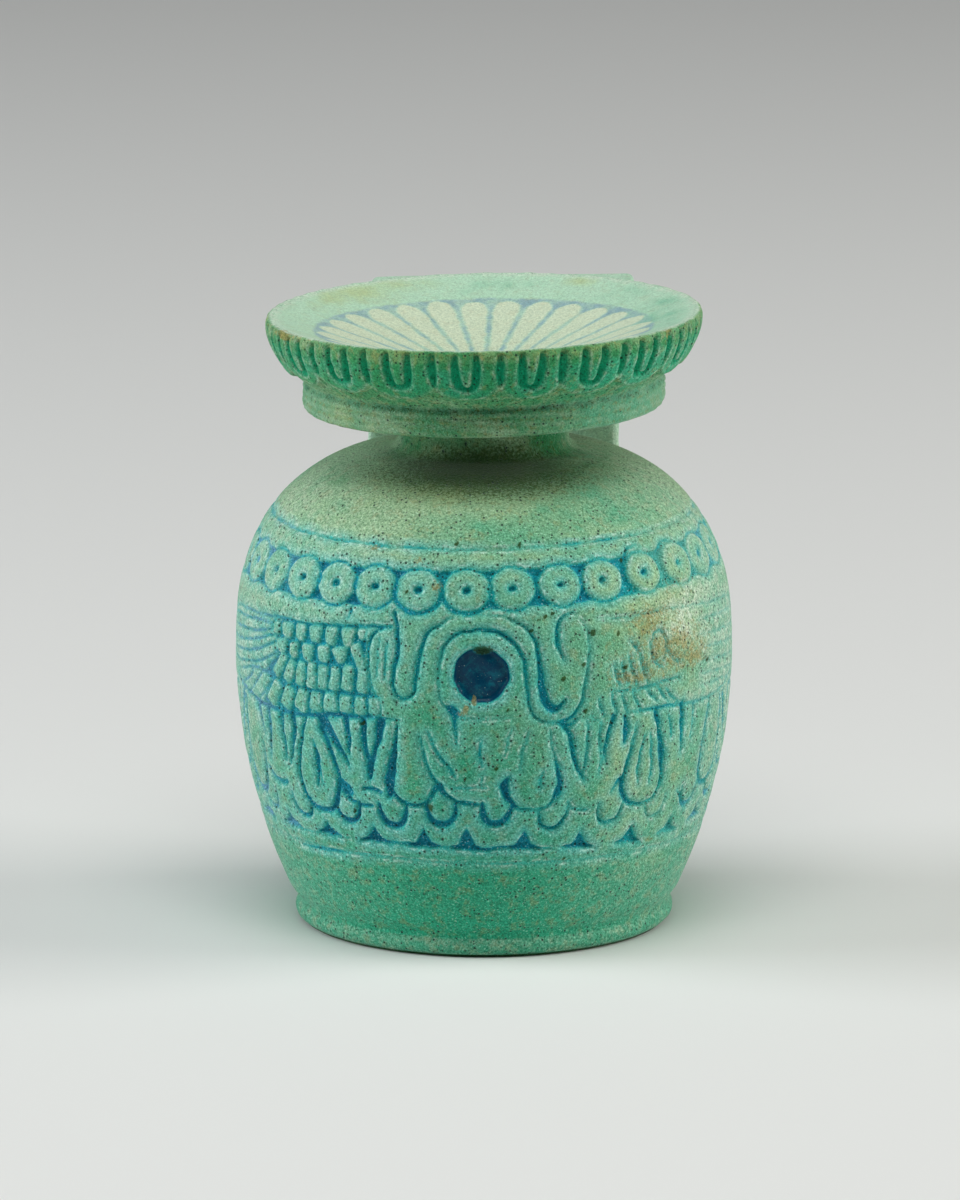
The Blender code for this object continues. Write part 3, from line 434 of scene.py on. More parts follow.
def carve_roundels(cut):
    """A sunk band that holds a row of pierced roundels."""
    level = roundel_level(cut.angle)
    # Under the fifth roundel the panel rises between the cuts in points
    lower = np.interp(cut.angle, (-25, -23, -8, -6), (BAND_REACH, 1.2, 1.2, BAND_REACH))
    inside = np.where(cut.seen_height > level, BAND_REACH, lower) - np.abs(cut.arc - cut.rise(level))
    rim = np.full(cut.angle.size, OUTSIDE)
    strokes = []
    for number, centre in enumerate([*ROUNDELS, *spaced(ROUNDELS[-1], 360.0 + ROUNDELS[0], 19)]):
        size = 1.0 + 0.04 * hashed(number, 3.0)
        across = wrapped(cut.seen_angle - centre)
        near = np.abs(across) < 9.0
        middle = roundel_level(centre) + 0.08 * hashed(number, 5.0)
        x = np.radians(across[near]) * cut.radius[near]
        y = cut.arc[near] - cut.rise(middle)
        tall = ROUNDEL_TALL * size
        oval = (1.0 - np.hypot(x / (ROUNDEL_WIDE * size), y / tall)) * tall
        inside[near] = np.minimum(inside[near], -oval)
        under = 0.12 * (number in HEAVY_RIMS) * (y < 0.0)
        rim[near] = np.maximum(rim[near], 0.2 + under - np.abs(oval + 0.1 + under))
        strokes.append(dict(route=[(centre - 0.25, middle), (centre + 0.25, middle + 0.05)], slope=0.4, depth=0.6,
                            width=0.8 + 0.14 * hashed(number, 7.0), pool=0.5 if number in PALE_HOLES else 0.72))
    cut.sink(cut.everywhere, rim, depth=0.26, pool=0.85 * strength(cut.angle))
    cut.sink(cut.everywhere, inside, depth=0.5, pool=strength(cut.angle))
    for stroke in strokes:
        cut.stroke(**stroke)


# The disc's ring and the two cobras beside it
COBRAS = (
    # The ring round the disc, which runs on into the right cobra's loop and hood
    ((0.3, 0.28, 0.34, 0.5, 0.5), 0.38, (0.6, 0.35, 0.35, 0.45, 0.6), ((-7, 27.9), (-8.3, 28.4), (-9.6, 29.2),
     (-10.3, 30.4), (-10.4, 32), (-10.1, 33.6), (-9.2, 35.1), (-7.4, 36.1), (-5, 36.65))),
    ((0.5, 0.6, 0.55, 0.45, 0.4), 0.45, (0.6, 0.62, 0.55, 0.5, 0.35), ((-5, 36.65), (-1, 36.9), (3, 36.7),
     (6, 35.9), (8.2, 34.7), (9.4, 33.2), (9.8, 31.6), (10, 30), (10.4, 28.8), (11.2, 27.9), (12.6, 27.2),
     (14.4, 26.85))),
    # The outer edge of the band over the ring, from one cobra to the other
    ((0.3, 0.25, 0.2, 0.25, 0.3), 0.2, 0.3, ((-8.4, 38.1), (-5, 38.4), (-1, 38.45), (3, 38.4), (5, 38.2))),
    ((0.4, 0.5, 0.5, 0.3, 0.2), 0.4, (0.5, 0.62, 0.4, 0.3, 0.2), ((14.4, 26.85), (17, 26.8), (20, 27.2), (22, 28),
     (23.2, 29.3), (24, 31.3), (24.6, 33.5), (24.9, 35.5), (24.3, 36.8), (22.8, 37.6))),
    # The right cobra's back and inner loop
    ((0.3, 0.45, 0.6, 1.05, 1, 0.35), 0.5, (0.3, 0.5, 0.62, 0.78, 0.75, 0.5), ((5, 38.2), (8, 37.6), (10, 36.9),
     (11.6, 35.8), (12.5, 34.4), (12.9, 32.5), (13.2, 30.8), (13.9, 29.4), (14.9, 28.6), (16.2, 28.3), (17.6, 28.5),
     (18.8, 29.2))),
    ((0.3, 0.5, 0.6, 0.3), 0.42, (0.35, 0.58, 0.6, 0.35), ((21.5, 38.4), (19.3, 38.05), (17.7, 37.4), (17.1, 36.3),
     (17.1, 35.2), (17.9, 34.2), (18.6, 33.4))),
    # The left cobra's back and its loop
    ((0.3, 0.55, 0.55, 0.45, 0.5, 0.6, 0.5), 0.45, (0.35, 0.66, 0.62, 0.55, 0.66, 0.75, 0.78), ((-8.4, 38.1),
     (-10, 37.4), (-12.3, 36.8), (-13.8, 36), (-14.6, 34.6), (-15.3, 32.8), (-15.8, 31), (-16.3, 30), (-17.2, 29.5),
     (-18.6, 29.25), (-20.1, 29.5), (-21.1, 30.4), (-21.3, 31.8), (-20.6, 33.2), (-20.2, 34.8), (-20.5, 36.4),
     (-21.1, 37.6), (-21.6, 38.4))),
    # The left cobra's hood and its ribs
    ((0.3, 0.5, 0.5, 0.4, 0.3), 0.42, (0.6, 0.62, 0.6, 0.5, 0.5), ((-22.3, 36.7), (-24.6, 36.5), (-26.6, 35.8),
     (-27.6, 34.6), (-27.7, 33.2), (-27.2, 31.6), (-26.6, 30.3), (-25.4, 29.3))),
    ((0.2, 0.3, 0.2), 0.22, 0.5, ((-24.9, 35.6), (-25, 33.6), (-25.3, 31.4))),
    ((0.2, 0.4, 0.2), 0.28, 0.6, ((-22.9, 35.3), (-23, 33.5), (-23.4, 31.2))),
    # The line under the disc
    ((0.5, 0.25, 0.2, 0.1), 0.3, (0.7, 0.45, 0.3, 0.2), ((-7.2, 27.7), (-4, 27.45), (0, 27.4), (6, 27.5))),
)
DISC_CENTRE, DISC_RADIUS = (-0.65, 32.05), 3.02
# The blue corner at the left under the disc
DISC_CORNER = ((-9.2, 28.9), (-7.2, 28.9), (-5.2, 28.2), (-5.2, 27.6), (-7.3, 27.5), (-8.2, 28))
# Where the disc's glass is left out, as (place, half width, half height): a crescent at its top, painted as the
# shadow under the disc's upper rim, and a drip of earth at its foot
SHADOW_AND_DRIP = (((-0.3, 34.75), 1.0, 0.5), ((-2.2, 29.4), 0.22, 0.45))


def carve_disc(cut):
    """The sun disc, a deep round recess, and the grooves of its ring and cobras."""
    chosen, points, middle = cut.near([(-8.0, 28.5), (7.0, 35.5)])

    def away_from(place):
        return (points - cut.flat(np.array([place]), middle)[0]).T

    x, y = away_from(DISC_CENTRE)
    round_out = DISC_RADIUS * (1.0 + 0.018 * np.sin(3.0 * np.arctan2(y, x) + 1.0)) - np.hypot(x, y)
    cut.sink(chosen, round_out, depth=0.85, pool=1.0, slope=0.35)
    # Glass is left out of the crescent at the top, where a dark spot among the pits paints the rim's shadow, and of
    # the drip at the foot
    for place, wide, tall in SHADOW_AND_DRIP:
        x, y = away_from(place)
        round_out = np.minimum(round_out, tall * (np.hypot(x / wide, y / tall) - 1.0))
    glass = np.full(cut.angle.size, OUTSIDE)
    glass[chosen] = round_out
    cut.draw(COBRAS)
    cut.recess(DISC_CORNER, depth=0.35, pool=0.85)
    return glass


# The left wing's feathers, row by row: (top angle, top height, foot angle, foot height, half widths in degrees)
FEATHERS = (
    ((-33.2, 36.25, -33.4, 34.2, 2.1, 0.9), (-29.5, 36.3, -29.2, 35.1, 1.2, 0.6), (-38, 36, -38.2, 34.2, 1.8, 1.4),
     (-43, 35.9, -42.8, 34.2, 1.9, 1.3), (-47.8, 35.7, -47.8, 34.05, 1.8, 1.3), (-52.8, 35.5, -52.4, 34, 2, 1.4),
     (-57, 35.3, -56.6, 34, 1.5, 1)),
    ((-31.2, 34.6, -29, 31.9, 1.3, 1.1), (-35.5, 34, -35, 32.35, 2.3, 0.9), (-40, 33.9, -40, 32.25, 1.7, 1.3),
     (-45.1, 33.7, -45, 32, 2, 1.1), (-49.9, 33.6, -49.8, 32, 1.6, 1.2), (-54.6, 33.6, -54.2, 32.2, 1.9, 1.1)),
    ((-28.9, 31.9, -29.1, 29.5, 1.3, 1.5), (-32.7, 32.2, -33.4, 29.5, 1.2, 1.5), (-36.4, 31.8, -37, 29.3, 1.3, 1.4),
     (-40, 31.8, -40.4, 29.25, 1.4, 1.5), (-43.4, 31.9, -43.6, 29.15, 1.4, 1.5),
     (-46.9, 31.7, -47.6, 29.2, 1.4, 1.5), (-50.1, 31.6, -52.2, 29.25, 1.3, 1.4),
     (-53, 31.9, -56.8, 29.6, 1.3, 1.4)),
    ((-26, 29.1, -26.2, 27.3, 1.6, 1.6), (-29.4, 29, -29.5, 27.15, 1.5, 1.6), (-33.5, 28.9, -33.6, 27.1, 1.8, 1.9),
     (-37.9, 28.9, -38, 26.95, 1.8, 2), (-42.1, 28.75, -42.5, 26.75, 1.8, 1.9), (-46.4, 28.7, -47.5, 26.45, 1.8, 2),
     (-50.7, 28.6, -53.2, 26.3, 1.7, 1.9), (-55.5, 28.8, -59, 26.3, 1.6, 1.9)),
)
WING_FIELD = ((-28.1, 36.5), (-28.1, 34.8), (-28.3, 33), (-27.6, 31.2), (-26.6, 29.7), (-24.4, 29.2), (-24, 27.2),
              (-30, 26.9), (-40, 26.6), (-50, 26), (-60, 25.9), (-62.4, 26.4), (-58.4, 28.8), (-61.6, 29.6),
              (-55.8, 32), (-56.6, 33.4), (-58.6, 34.6), (-58.6, 35.6), (-50, 35.9), (-40, 36.2), (-34, 36.5))
# The long feathers' edges beyond them, each a route
LONG_FEATHERS = (
    ((-58.4, 35), (-64, 34.85), (-72, 34.5), (-80, 34.2), (-87, 33.7)),
    ((-58.2, 34.5), (-63, 33.9), (-70, 33.3), (-79, 32.9), (-87, 32.6)),
    ((-57.2, 33.9), (-61, 33.4), (-66, 32.7), (-72, 32.1), (-80, 31.6), (-87, 31.4)),
    ((-56.6, 33.2), (-60.5, 32.5), (-65.5, 31.6), (-72, 30.9), (-80, 30.4), (-87, 30.2)),
    ((-55.6, 32.3), (-59.2, 31.4), (-64, 30.5), (-70, 29.9), (-79, 29.3), (-86, 29.2)),
    ((-59.5, 29.4), (-65, 29.6), (-72, 29), (-78, 28.4)),
    ((-58.4, 28.8), (-61, 27.6), (-64.5, 26.3)),
    ((-63.2, 29.2), (-66.5, 27.9), (-70.5, 26.6)),
    ((-68.2, 28.9), (-72, 27.8), (-76, 27.1)),
)
# The wing's upper and lower edges, its end, and a nick above it
LEFT_EDGES = (
    ((0.45, 0.5, 0.42, 0.4, 0.35, 0.3), 0.4, (0.75, 0.72, 0.7, 0.6, 0.5, 0.4), ((-22.2, 36.85), (-26, 36.75),
     (-30, 36.6), (-35, 36.35), (-40, 36.15), (-45, 35.95), (-55, 35.85), (-63, 35.55), (-72, 35.3), (-82, 34.9),
     (-88, 34))),
    ((0.15, 0.5, 0.65, 0.6, 0.6, 0.5, 0.3), 0.45, (0.5, 0.95, 1, 0.95, 0.85, 0.6, 0.4), ((-19.5, 26.98),
     (-25, 26.95), (-30, 26.85), (-35, 26.75), (-40, 26.45), (-45, 26.1), (-50, 25.9), (-60, 25.82), (-70, 26.25),
     (-80, 27.3), (-88, 29.2))),
    (0.35, 0.3, 0.45, ((-88, 29.2), (-90, 31), (-90, 33), (-88, 34))),
    ((0.5, 0.3, 0.15), 0.2, 0.8, ((-33, 38.2), (-33.2, 37.6), (-33.4, 37.2))),
)
# Millimetres in a degree on the wing
DEGREE = 26.4 * math.radians(1.0)


def carve_left_wing(cut):
    """The wing: short feathers left standing in a sunk field, then grooves between the long ones."""
    plates = [((a, b), (c, d), e * DEGREE, f * DEGREE) for row in FEATHERS for a, b, c, d, e, f in row]
    cut.recess(WING_FIELD, depth=0.4, pool=0.7, plates=plates, slope=0.26)
    cut.draw(LEFT_EDGES)
    # The gaps between the feathers of the two lower rows were cut again
    for row in FEATHERS[2:]:
        for left, right in zip(row, row[1:]):
            gap = 0.5 * (np.array(left[:4]) + right[:4]).reshape(2, 2)
            cut.stroke(gap, width=(0.55, 0.45, 0.35), depth=0.4, pool=(0.8, 0.6))
    for route in LONG_FEATHERS:
        cut.stroke(route, width=(0.4, 0.42, 0.36, 0.25), depth=0.34, pool=0.62)


# The slanting strokes in the worn right wing, each a route
WORN_STROKES = (
    ((35.5, 33.2), (36.2, 31.6), (37.4, 30)),
    ((38.4, 32.8), (39.4, 31.4), (41, 29.9)),
    ((41.7, 34.2), (42.2, 33), (43.4, 31.9), (45.2, 31.3)),
    ((33.2, 29.2), (34, 28), (35.2, 26.9)),
    ((36.4, 29.3), (37.4, 28.2), (39.2, 27)),
    ((40.2, 29.4), (41.6, 28.6), (44, 27.7)),
    ((46.5, 29), (48.5, 28), (51, 27.2)),
    ((36, 34.6), (37.4, 34), (38.4, 33.2)),
    ((27.2, 28.9), (27.6, 28), (28.6, 27)),
    ((46.5, 33.5), (48.5, 32.2), (51.5, 31.3)),
    ((30.6, 29.4), (31.3, 28.3), (32.2, 27.2)),
    ((43.4, 29.6), (45.2, 28.5), (47.4, 27.5)),
    ((31, 29.6), (35, 29.4), (40, 29.5), (45, 29.7), (51, 29.8)),
    ((42.4, 34.2), (43.2, 35.1), (45.2, 35.3), (46.9, 34.5), (47.1, 33.2), (45.4, 31.9)),
    ((33.2, 32.6), (33.8, 31.4), (34.8, 30.2)),
    ((31, 32.4), (31.8, 31.2), (32.8, 30.2)),
)
# Its faint long feathers: (height at their start, fall over their length)
WORN_FEATHERS = ((35.2, 0.8), (33.6, 1.0), (32.2, 1.2), (30.8, 1.4), (29.4, 1.3), (28.2, 1.0))
# Its lower and upper edges and its end, and what is left of the cuts round the two worn roundels
RIGHT_EDGES = (
    ((0.15, 0.3, 0.5, 0.45, 0.4, 0.3, 0.3), 0.28, (0.2, 0.35, 0.6, 0.55, 0.4, 0.4, 0.4), ((28, 26.9), (34, 27.1),
     (42, 27), (48, 26.9), (56, 26.6), (66, 26.5), (76, 27), (86, 28.6))),
    ((0.15, 0.3, 0.35, 0.3, 0.3), 0.22, 0.3, ((28, 37.5), (36, 37.2), (44, 37.3), (54, 37.1), (66, 36.6), (80, 36),
     (88, 34.6))),
    (0.35, 0.25, 0.4, ((86, 28.6), (89.5, 30.5), (90, 32.8), (88, 34.6))),
    ((0.3, 0.55, 0.6, 0.5, 0.25), 0.4, (0.5, 0.66, 0.7, 0.6, 0.4), ((41, 39.6), (38.4, 40.4), (37.5, 41.6),
     (38.2, 42.9), (40.6, 43.9), (44, 44.1))),
    ((0.3, 0.5, 0.5, 0.45, 0.25), 0.35, (0.4, 0.55, 0.55, 0.5, 0.4), ((54.4, 39.7), (51.6, 40.4), (50.3, 41.6),
     (50.8, 42.9), (53.6, 43.8), (57.4, 44))),
)


def carve_right_wing(cut):
    """The other wing, worn down: shallow, slanting grooves with hardly any glaze left in them."""
    for route in WORN_STROKES:
        cut.stroke(route, width=(0.25, 0.5, 0.3), depth=0.36, pool=0.42)
    for low, fall in WORN_FEATHERS:
        cut.stroke([(60.0 + 7.0 * step, low - 0.25 * fall * step) for step in range(5)],
                   width=(0.15, 0.34, 0.32, 0.2), depth=0.18, pool=0.3)
    cut.draw(RIGHT_EDGES)


# The frieze under the wings in front
FRIEZE = (
    # The bud at the far left and the flower beside it
    ((0.4, 0.7, 0.8, 0.7), 0.5, (0.5, 0.62, 0.72), ((-64.8, 21.4), (-65.2, 19), (-66.2, 17.4), (-68, 16.2),
     (-71.5, 15.7), (-74.6, 17), (-75.6, 20), (-74, 25.6))),
    ((0.9, 0.9, 0.5), 0.48, (0.8, 0.7, 0.5), ((-65.5, 25.7), (-64.4, 24.3), (-63.2, 22.6))),
    ((1, 0.8, 0.6, 0.4), 0.48, (0.8, 0.75, 0.6), ((-60.6, 25.6), (-60.2, 23.8), (-60.8, 22), (-61.6, 20.2))),
    ((1, 0.7, 0.55, 0.4), 0.48, (0.85, 0.8, 0.6), ((-55, 25.6), (-54.7, 23.8), (-54.2, 22), (-54.4, 20.4))),
    ((1.1, 0.9, 0.6, 0.4), 0.5, (0.95, 0.85, 0.7), ((-50.4, 25.6), (-50.1, 24.2), (-51.2, 22.3), (-52.8, 20.2))),
    ((0.6, 0.6, 0.5), 0.42, (0.7, 0.62), ((-55.6, 17.9), (-58, 17.6), (-61, 17.9), (-63.6, 18.8))),
    # The second bud, with the notch inside it
    ((0.5, 0.6, 0.6, 0.7, 0.75, 0.7, 0.8, 0.6), 0.45, (0.8, 0.75, 0.8, 0.85, 0.9, 0.95, 1, 0.8), ((-45.9, 25.6),
     (-47.2, 24), (-48.6, 21.8), (-49.5, 19.8), (-49.3, 18.2), (-48.4, 16.9), (-46.6, 16), (-43.8, 15.7),
     (-40.8, 15.8), (-38.8, 16.6), (-37.6, 18), (-36.6, 19.8))),
    ((0.6, 0.7, 0.8, 0.7), 0.45, (1, 0.85, 0.9, 0.9), ((-36.6, 19.8), (-37.6, 21.6), (-39.2, 23.4), (-41.2, 25))),
    ((0.15, 0.9, 0.7, 0.4), 0.4, (0.6, 0.85, 0.8, 0.6), ((-43.6, 23.6), (-42.9, 21.6), (-43.1, 20.2),
     (-43.7, 18.3))),
    ((0.4, 0.3), 0.3, 0.6, ((-42.3, 20.6), (-41.8, 18.6))),
    # The left flower: broad blue cuts either side of its three petals
    ((1.5, 1.1, 0.8, 0.3), 0.5, (1, 1, 0.95, 0.8), ((-40.4, 25.9), (-38, 24.6), (-35.6, 23), (-33.4, 21.3))),
    ((0.9, 0.7, 0.4), 0.42, (1, 0.85, 0.8), ((-33.4, 26.3), (-32.9, 24.4), (-33.2, 22.6))),
    ((0.8, 0.8, 0.7), 0.45, (1, 0.9, 0.9), ((-28.9, 26.4), (-28.9, 24.4), (-28.2, 22.4))),
    ((1.2, 0.8, 0.6, 0.9, 0.6), 0.5, (1, 1, 0.95, 0.95, 0.9), ((-24.4, 26.4), (-24.9, 24.8), (-26.2, 23.2),
     (-27.6, 21.6), (-28, 20.2))),
    ((0.3, 0.6, 1.1, 1.25, 0.7), 0.55, (0.8, 0.9, 1, 1, 1), ((-20.4, 26.3), (-21, 24.2), (-22, 21.8), (-22.8, 19.8),
     (-23, 18.4))),
    ((1, 1.5, 0.8), 0.45, (0.9, 0.95, 0.8), ((-36.6, 19.4), (-35, 18.6), (-33.6, 18.2))),
    ((0.6, 0.5, 0.5, 0.5), 0.35, (0.85, 0.8, 0.75), ((-34.6, 17.6), (-32.6, 17.2), (-30.4, 17), (-28, 17.1))),
    ((0.5, 0.6, 0.6), 0.35, (0.7, 0.8, 0.8), ((-30, 18.9), (-27.5, 19), (-25.4, 18.7))),
    # The bud left of the middle
    ((0.6, 0.55, 0.6, 0.6, 0.6, 0.8), 0.45, (1, 0.85, 0.7, 0.65, 0.62, 0.8), ((-22.4, 19), (-21.2, 18.3),
     (-19.4, 17.75), (-16.8, 17.55), (-14.4, 17.8), (-12.7, 18.7), (-11.2, 19.8))),
    ((0.25, 0.5, 0.5, 0.6), 0.32, (0.45, 0.5, 0.55), ((-14.9, 25.4), (-13.9, 22.9), (-12.6, 21.3), (-11, 20.1))),
    ((0.3, 0.5, 0.4), 0.28, 0.5, ((-12.9, 25.8), (-10.8, 23.6), (-8.6, 22.2), (-6.8, 21))),
    ((0.2, 0.4, 0.3), 0.2, 0.3, ((8.4, 21.6), (8.8, 23.6), (10.2, 25.8))),
    # The middle flower, rubbed faint, and its cup
    ((0.6, 0.5, 0.2), 0.35, (0.75, 0.65, 0.5), ((-6.9, 27.5), (-6.4, 26.2), (-6.3, 24.6))),
    ((0.2, 0.45, 0.2), 0.25, 0.55, ((-0.5, 25.2), (-0.95, 23.6), (-0.5, 22.2))),
    ((0.15, 0.25, 0.15), 0.12, 0.4, ((-0.3, 21.2), (-0.8, 20.4), (-0.7, 19.7))),
    ((0.15, 0.3, 0.15), 0.12, 0.3, ((6.2, 26.2), (5.4, 24.8), (4.8, 23.4))),
    ((0.9, 0.6, 0.5, 0.6, 0.5), 0.42, (0.9, 0.72, 0.6, 0.62, 0.7), ((-10.6, 19.9), (-9.2, 19), (-7.2, 18.3),
     (-4.6, 18), (-1.6, 17.95))),
    ((0.15, 0.3, 0.25, 0.15), 0.12, 0.4, ((-8.4, 19.7), (-5.4, 19.8), (-2, 19.85), (0.6, 19.8))),
    # The bud right of the middle, with a dark cut beside it
    ((0.3, 1, 0.8, 0.6), 0.5, (0.9, 1, 1, 0.95), ((5.6, 21), (4.8, 19.9), (5.4, 18.7), (7.2, 17.7))),
    ((0.5, 0.4, 0.4, 0.4, 0.5), 0.35, (0.8, 0.55, 0.5, 0.5, 0.6), ((7.2, 17.7), (9, 17.35), (12, 17.2),
     (14.8, 17.35), (16.3, 17.9))),
    ((0.4, 0.9, 0.6, 0.25, 0.2), 0.42, (0.6, 0.85, 0.8, 0.45, 0.35), ((16.3, 17.9), (17.6, 18.9), (18.1, 20.2),
     (17.1, 22), (16, 24), (15.2, 26.1))),
    ((0.2, 0.4, 0.2), 0.22, 0.5, ((13.9, 21.5), (13.3, 20.5), (13.2, 19.5))),
    # The right flower
    ((0.3, 0.6, 0.65, 0.65, 0.6, 0.4), 0.42, (0.35, 0.55, 0.62, 0.66, 0.66, 0.55), ((15.5, 26.9), (18.2, 26.5),
     (20, 25.4), (20.8, 23.8), (22, 22), (23.8, 20.3))),
    ((0.25, 0.45, 0.45, 0.3), 0.34, 0.45, ((24.4, 26.8), (24.6, 24.6), (24.3, 22.6), (23.8, 21))),
    ((0.8, 0.6, 0.4), 0.3, (0.7, 0.6, 0.4), ((18.4, 26.6), (20, 26.4), (21.6, 27))),
    ((0.15, 0.3, 0.2), 0.2, 0.3, ((25.2, 27.4), (26.2, 26.7), (27.6, 26.6))),
    ((0.25, 0.4, 0.4, 0.25), 0.3, 0.42, ((28, 26.5), (27.6, 24.6), (28.3, 22.4), (28, 20.8))),
    ((0.7, 0.6, 0.6, 0.5, 0.2), 0.38, (0.6, 0.6, 0.55, 0.5, 0.4), ((31.4, 26.9), (30.3, 25.6), (29.4, 24.2),
     (29.2, 22.8), (29.8, 21.6))),
    ((0.5, 0.9, 0.4), 0.42, 0.72, ((34.2, 26.7), (34.8, 25.2), (34.5, 23.8))),
    ((0.2, 0.4, 0.4, 0.3), 0.3, 0.45, ((37.8, 25.8), (36.8, 24.2), (36, 22.4), (35, 20.8))),
    ((0.2, 0.5, 0.9, 0.7), 0.4, (0.4, 0.6, 0.75, 0.7), ((31.6, 18.4), (33, 19.2), (34.6, 19.6), (34.9, 18.5))),
    ((0.3, 0.4, 0.3), 0.25, 0.45, ((20.4, 17.9), (21.4, 17.2), (23.6, 16.9), (25.6, 16.7))),
    # The bud at the right
    ((0.3, 0.45, 0.6, 0.8, 0.6, 0.45, 0.5, 0.7, 1.2, 0.5, 0.4), 0.45,
     (0.4, 0.5, 0.6, 0.75, 0.6, 0.5, 0.5, 0.6, 0.78, 0.55, 0.45), ((38.2, 25.4), (36.9, 23.2), (35.8, 21.2),
     (35, 19.2), (35.8, 17.7), (38, 16.8), (41.6, 16.5), (44.8, 16.8), (46.6, 18), (47.2, 19.4), (46.6, 21.4),
     (45.4, 23.6), (44.2, 25.6), (42.8, 26.8))),
    ((0.25, 0.5, 0.45, 0.3), 0.32, 0.48, ((42.2, 24.4), (42.8, 22.2), (43.4, 20.4), (43.2, 18.8))),
    ((0.25, 0.5, 0.45, 0.3), 0.32, 0.48, ((40.4, 24.2), (39.6, 22.4), (39.1, 20.6), (39.5, 18.9))),
    ((0.8, 0.7, 0.3), 0.4, (0.75, 0.7, 0.5), ((43.6, 26.4), (44.6, 25.2), (45.2, 23.6))),
    ((0.3, 0.5, 0.3), 0.35, (0.5, 0.65), ((47.8, 25.9), (48.8, 24.6), (49.2, 23.4))),
    ((0.8, 0.9, 0.6, 0.4), 0.4, (0.6, 0.66, 0.6), ((52.7, 26.8), (53, 25), (53.2, 23.4), (53.5, 21.6))),
    ((0.5, 0.4, 0.3), 0.32, (0.45, 0.4), ((57.6, 26.4), (57.5, 24.6), (57, 22.6))),
    ((0.3, 0.4, 0.3), 0.25, 0.4, ((54.6, 17), (56.8, 16.2), (58.6, 15.8))),
)
# A bud and a flower of the plain frieze behind, in angles from their middles
PLAIN_BUD = (
    ((0.5, 0.7, 0.75, 0.7, 0.5), 0.42, 0.55, ((-3.6, 26), (-4.8, 23.6), (-5.3, 20.6), (-4.9, 18.6), (-3.2, 17.2),
     (0, 16.6), (3.2, 17.2), (4.9, 18.6), (5.3, 20.6), (4.8, 23.6), (3.6, 26))),
)
PLAIN_FLOWER = (
    ((0.9, 0.9, 0.45), 0.42, 0.55, ((-7.8, 26), (-5.4, 23.4), (-2.8, 20.6))),
    ((0.6, 0.55, 0.4), 0.35, 0.55, ((-3, 26.1), (-2.6, 24), (-2.4, 22.2))),
    ((0.9, 0.9, 0.45), 0.42, 0.55, ((7.8, 26), (5.4, 23.4), (2.8, 20.6))),
    ((0.6, 0.55, 0.4), 0.35, 0.55, ((3, 26.1), (2.6, 24), (2.4, 22.2))),
    ((0.5, 0.65, 0.6, 0.65, 0.5), 0.4, 0.55, ((-6.4, 19.4), (-4.6, 18.2), (0, 17.6), (4.6, 18.2), (6.4, 19.4))),
)


def carve_lotuses(cut):
    """Hanging lotus buds and open flowers by turns: drawn one by one in front, repeated plainly behind."""
    cut.draw(FRIEZE)
    for lines, start, seed in ((PLAIN_BUD, 68.9, 11.0), (PLAIN_FLOWER, 82.7, 13.0)):
        for number in range(8):
            cut.draw(lines, start + 360.0 / 13.0 * number + 0.4 * hashed(number, seed))
    top = [(angle, 26.35 + 0.1 * math.sin(math.radians(3.0 * angle))) for angle in range(80, 284, 6)]
    cut.stroke(top, width=0.5, depth=0.4, pool=0.55)


# The hanging beads in front: (angle, height of the middle, width of the cut at its ends and foot, glaze)
BEADS = ((-65.5, 15.5, 0.4, 0.7), (-50.5, 15.75, 0.55, 0.85), (-35.2, 16.25, 0.65, 1), (-22.6, 16.3, 0.7, 1),
         (-10.4, 16.75, 0.75, 0.85), (2.9, 16.95, 0.75, 0.92), (16.7, 16.15, 0.5, 0.6), (32, 16.2, 0.45, 0.5),
         (46.6, 15.9, 0.35, 0.35))
# The cut round a bead, from the bead's middle
BEAD_CUT = ((-3.5, 1.1), (-3.4, 0.3), (-2.6, -0.65), (-1.1, -1.15), (1, -1.2), (2.5, -0.75), (3.4, 0.2), (3.6, 1.1))
# The pointed cuts between the scallops in front: (angle, height of the point, base heights left and right, glaze)
CUSPS = ((-71.5, 14.3, 13, 12.9, 0.7), (-57.6, 14.5, 12.95, 12.85, 0.8), (-42.9, 14.6, 12.9, 12.95, 0.95),
         (-28.4, 14.9, 13, 12.95, 1), (-15.1, 15.1, 12.95, 12.9, 1), (-4.3, 15.3, 12.9, 12.8, 0.92),
         (9.9, 15.1, 12.9, 12.75, 0.85), (24.5, 14.55, 12.65, 12.4, 0.8), (39.6, 14.4, 12.5, 12.05, 0.66),
         (54.2, 14.2, 12.5, 12.3, 0.45))
# The line that the scallops hang from, as far as it was cut, and one lower down at the left
SCALLOP_LINES = (
    ((0.5, 0.4, 0.5), 0.42, (1, 0.9, 1), ((-28, 13), (-22, 13.1), (-15, 13.05))),
    ((0.45, 0.55, 0.4, 0.4), 0.4, (0.9, 0.95, 0.8, 0.8), ((-4, 12.85), (0.5, 12.75), (5, 12.95), (10, 12.95))),
    ((0.4, 0.3, 0.15), 0.3, (0.8, 0.7, 0.4), ((10, 12.9), (13, 12.8), (17, 12.7))),
    ((0.4, 0.35, 0.4), 0.35, (0.9, 0.7, 0.85), ((-15, 12.95), (-10, 12.85), (-4, 12.85))),
    ((0.3, 0.25, 0.3, 0.2), 0.2, (0.5, 0.45, 0.6, 0.3), ((-60, 12.75), (-52, 12.75), (-44, 12.85), (-36, 13))),
    ((0.25, 0.5, 0.45, 0.3, 0.3, 0.15), 0.22, (0.5, 0.9, 0.85, 0.55, 0.5, 0.3), ((-55, 10.8), (-48, 10.95),
     (-42, 11.12), (-36, 11.2), (-29, 11.3), (-24, 11.35))),
)


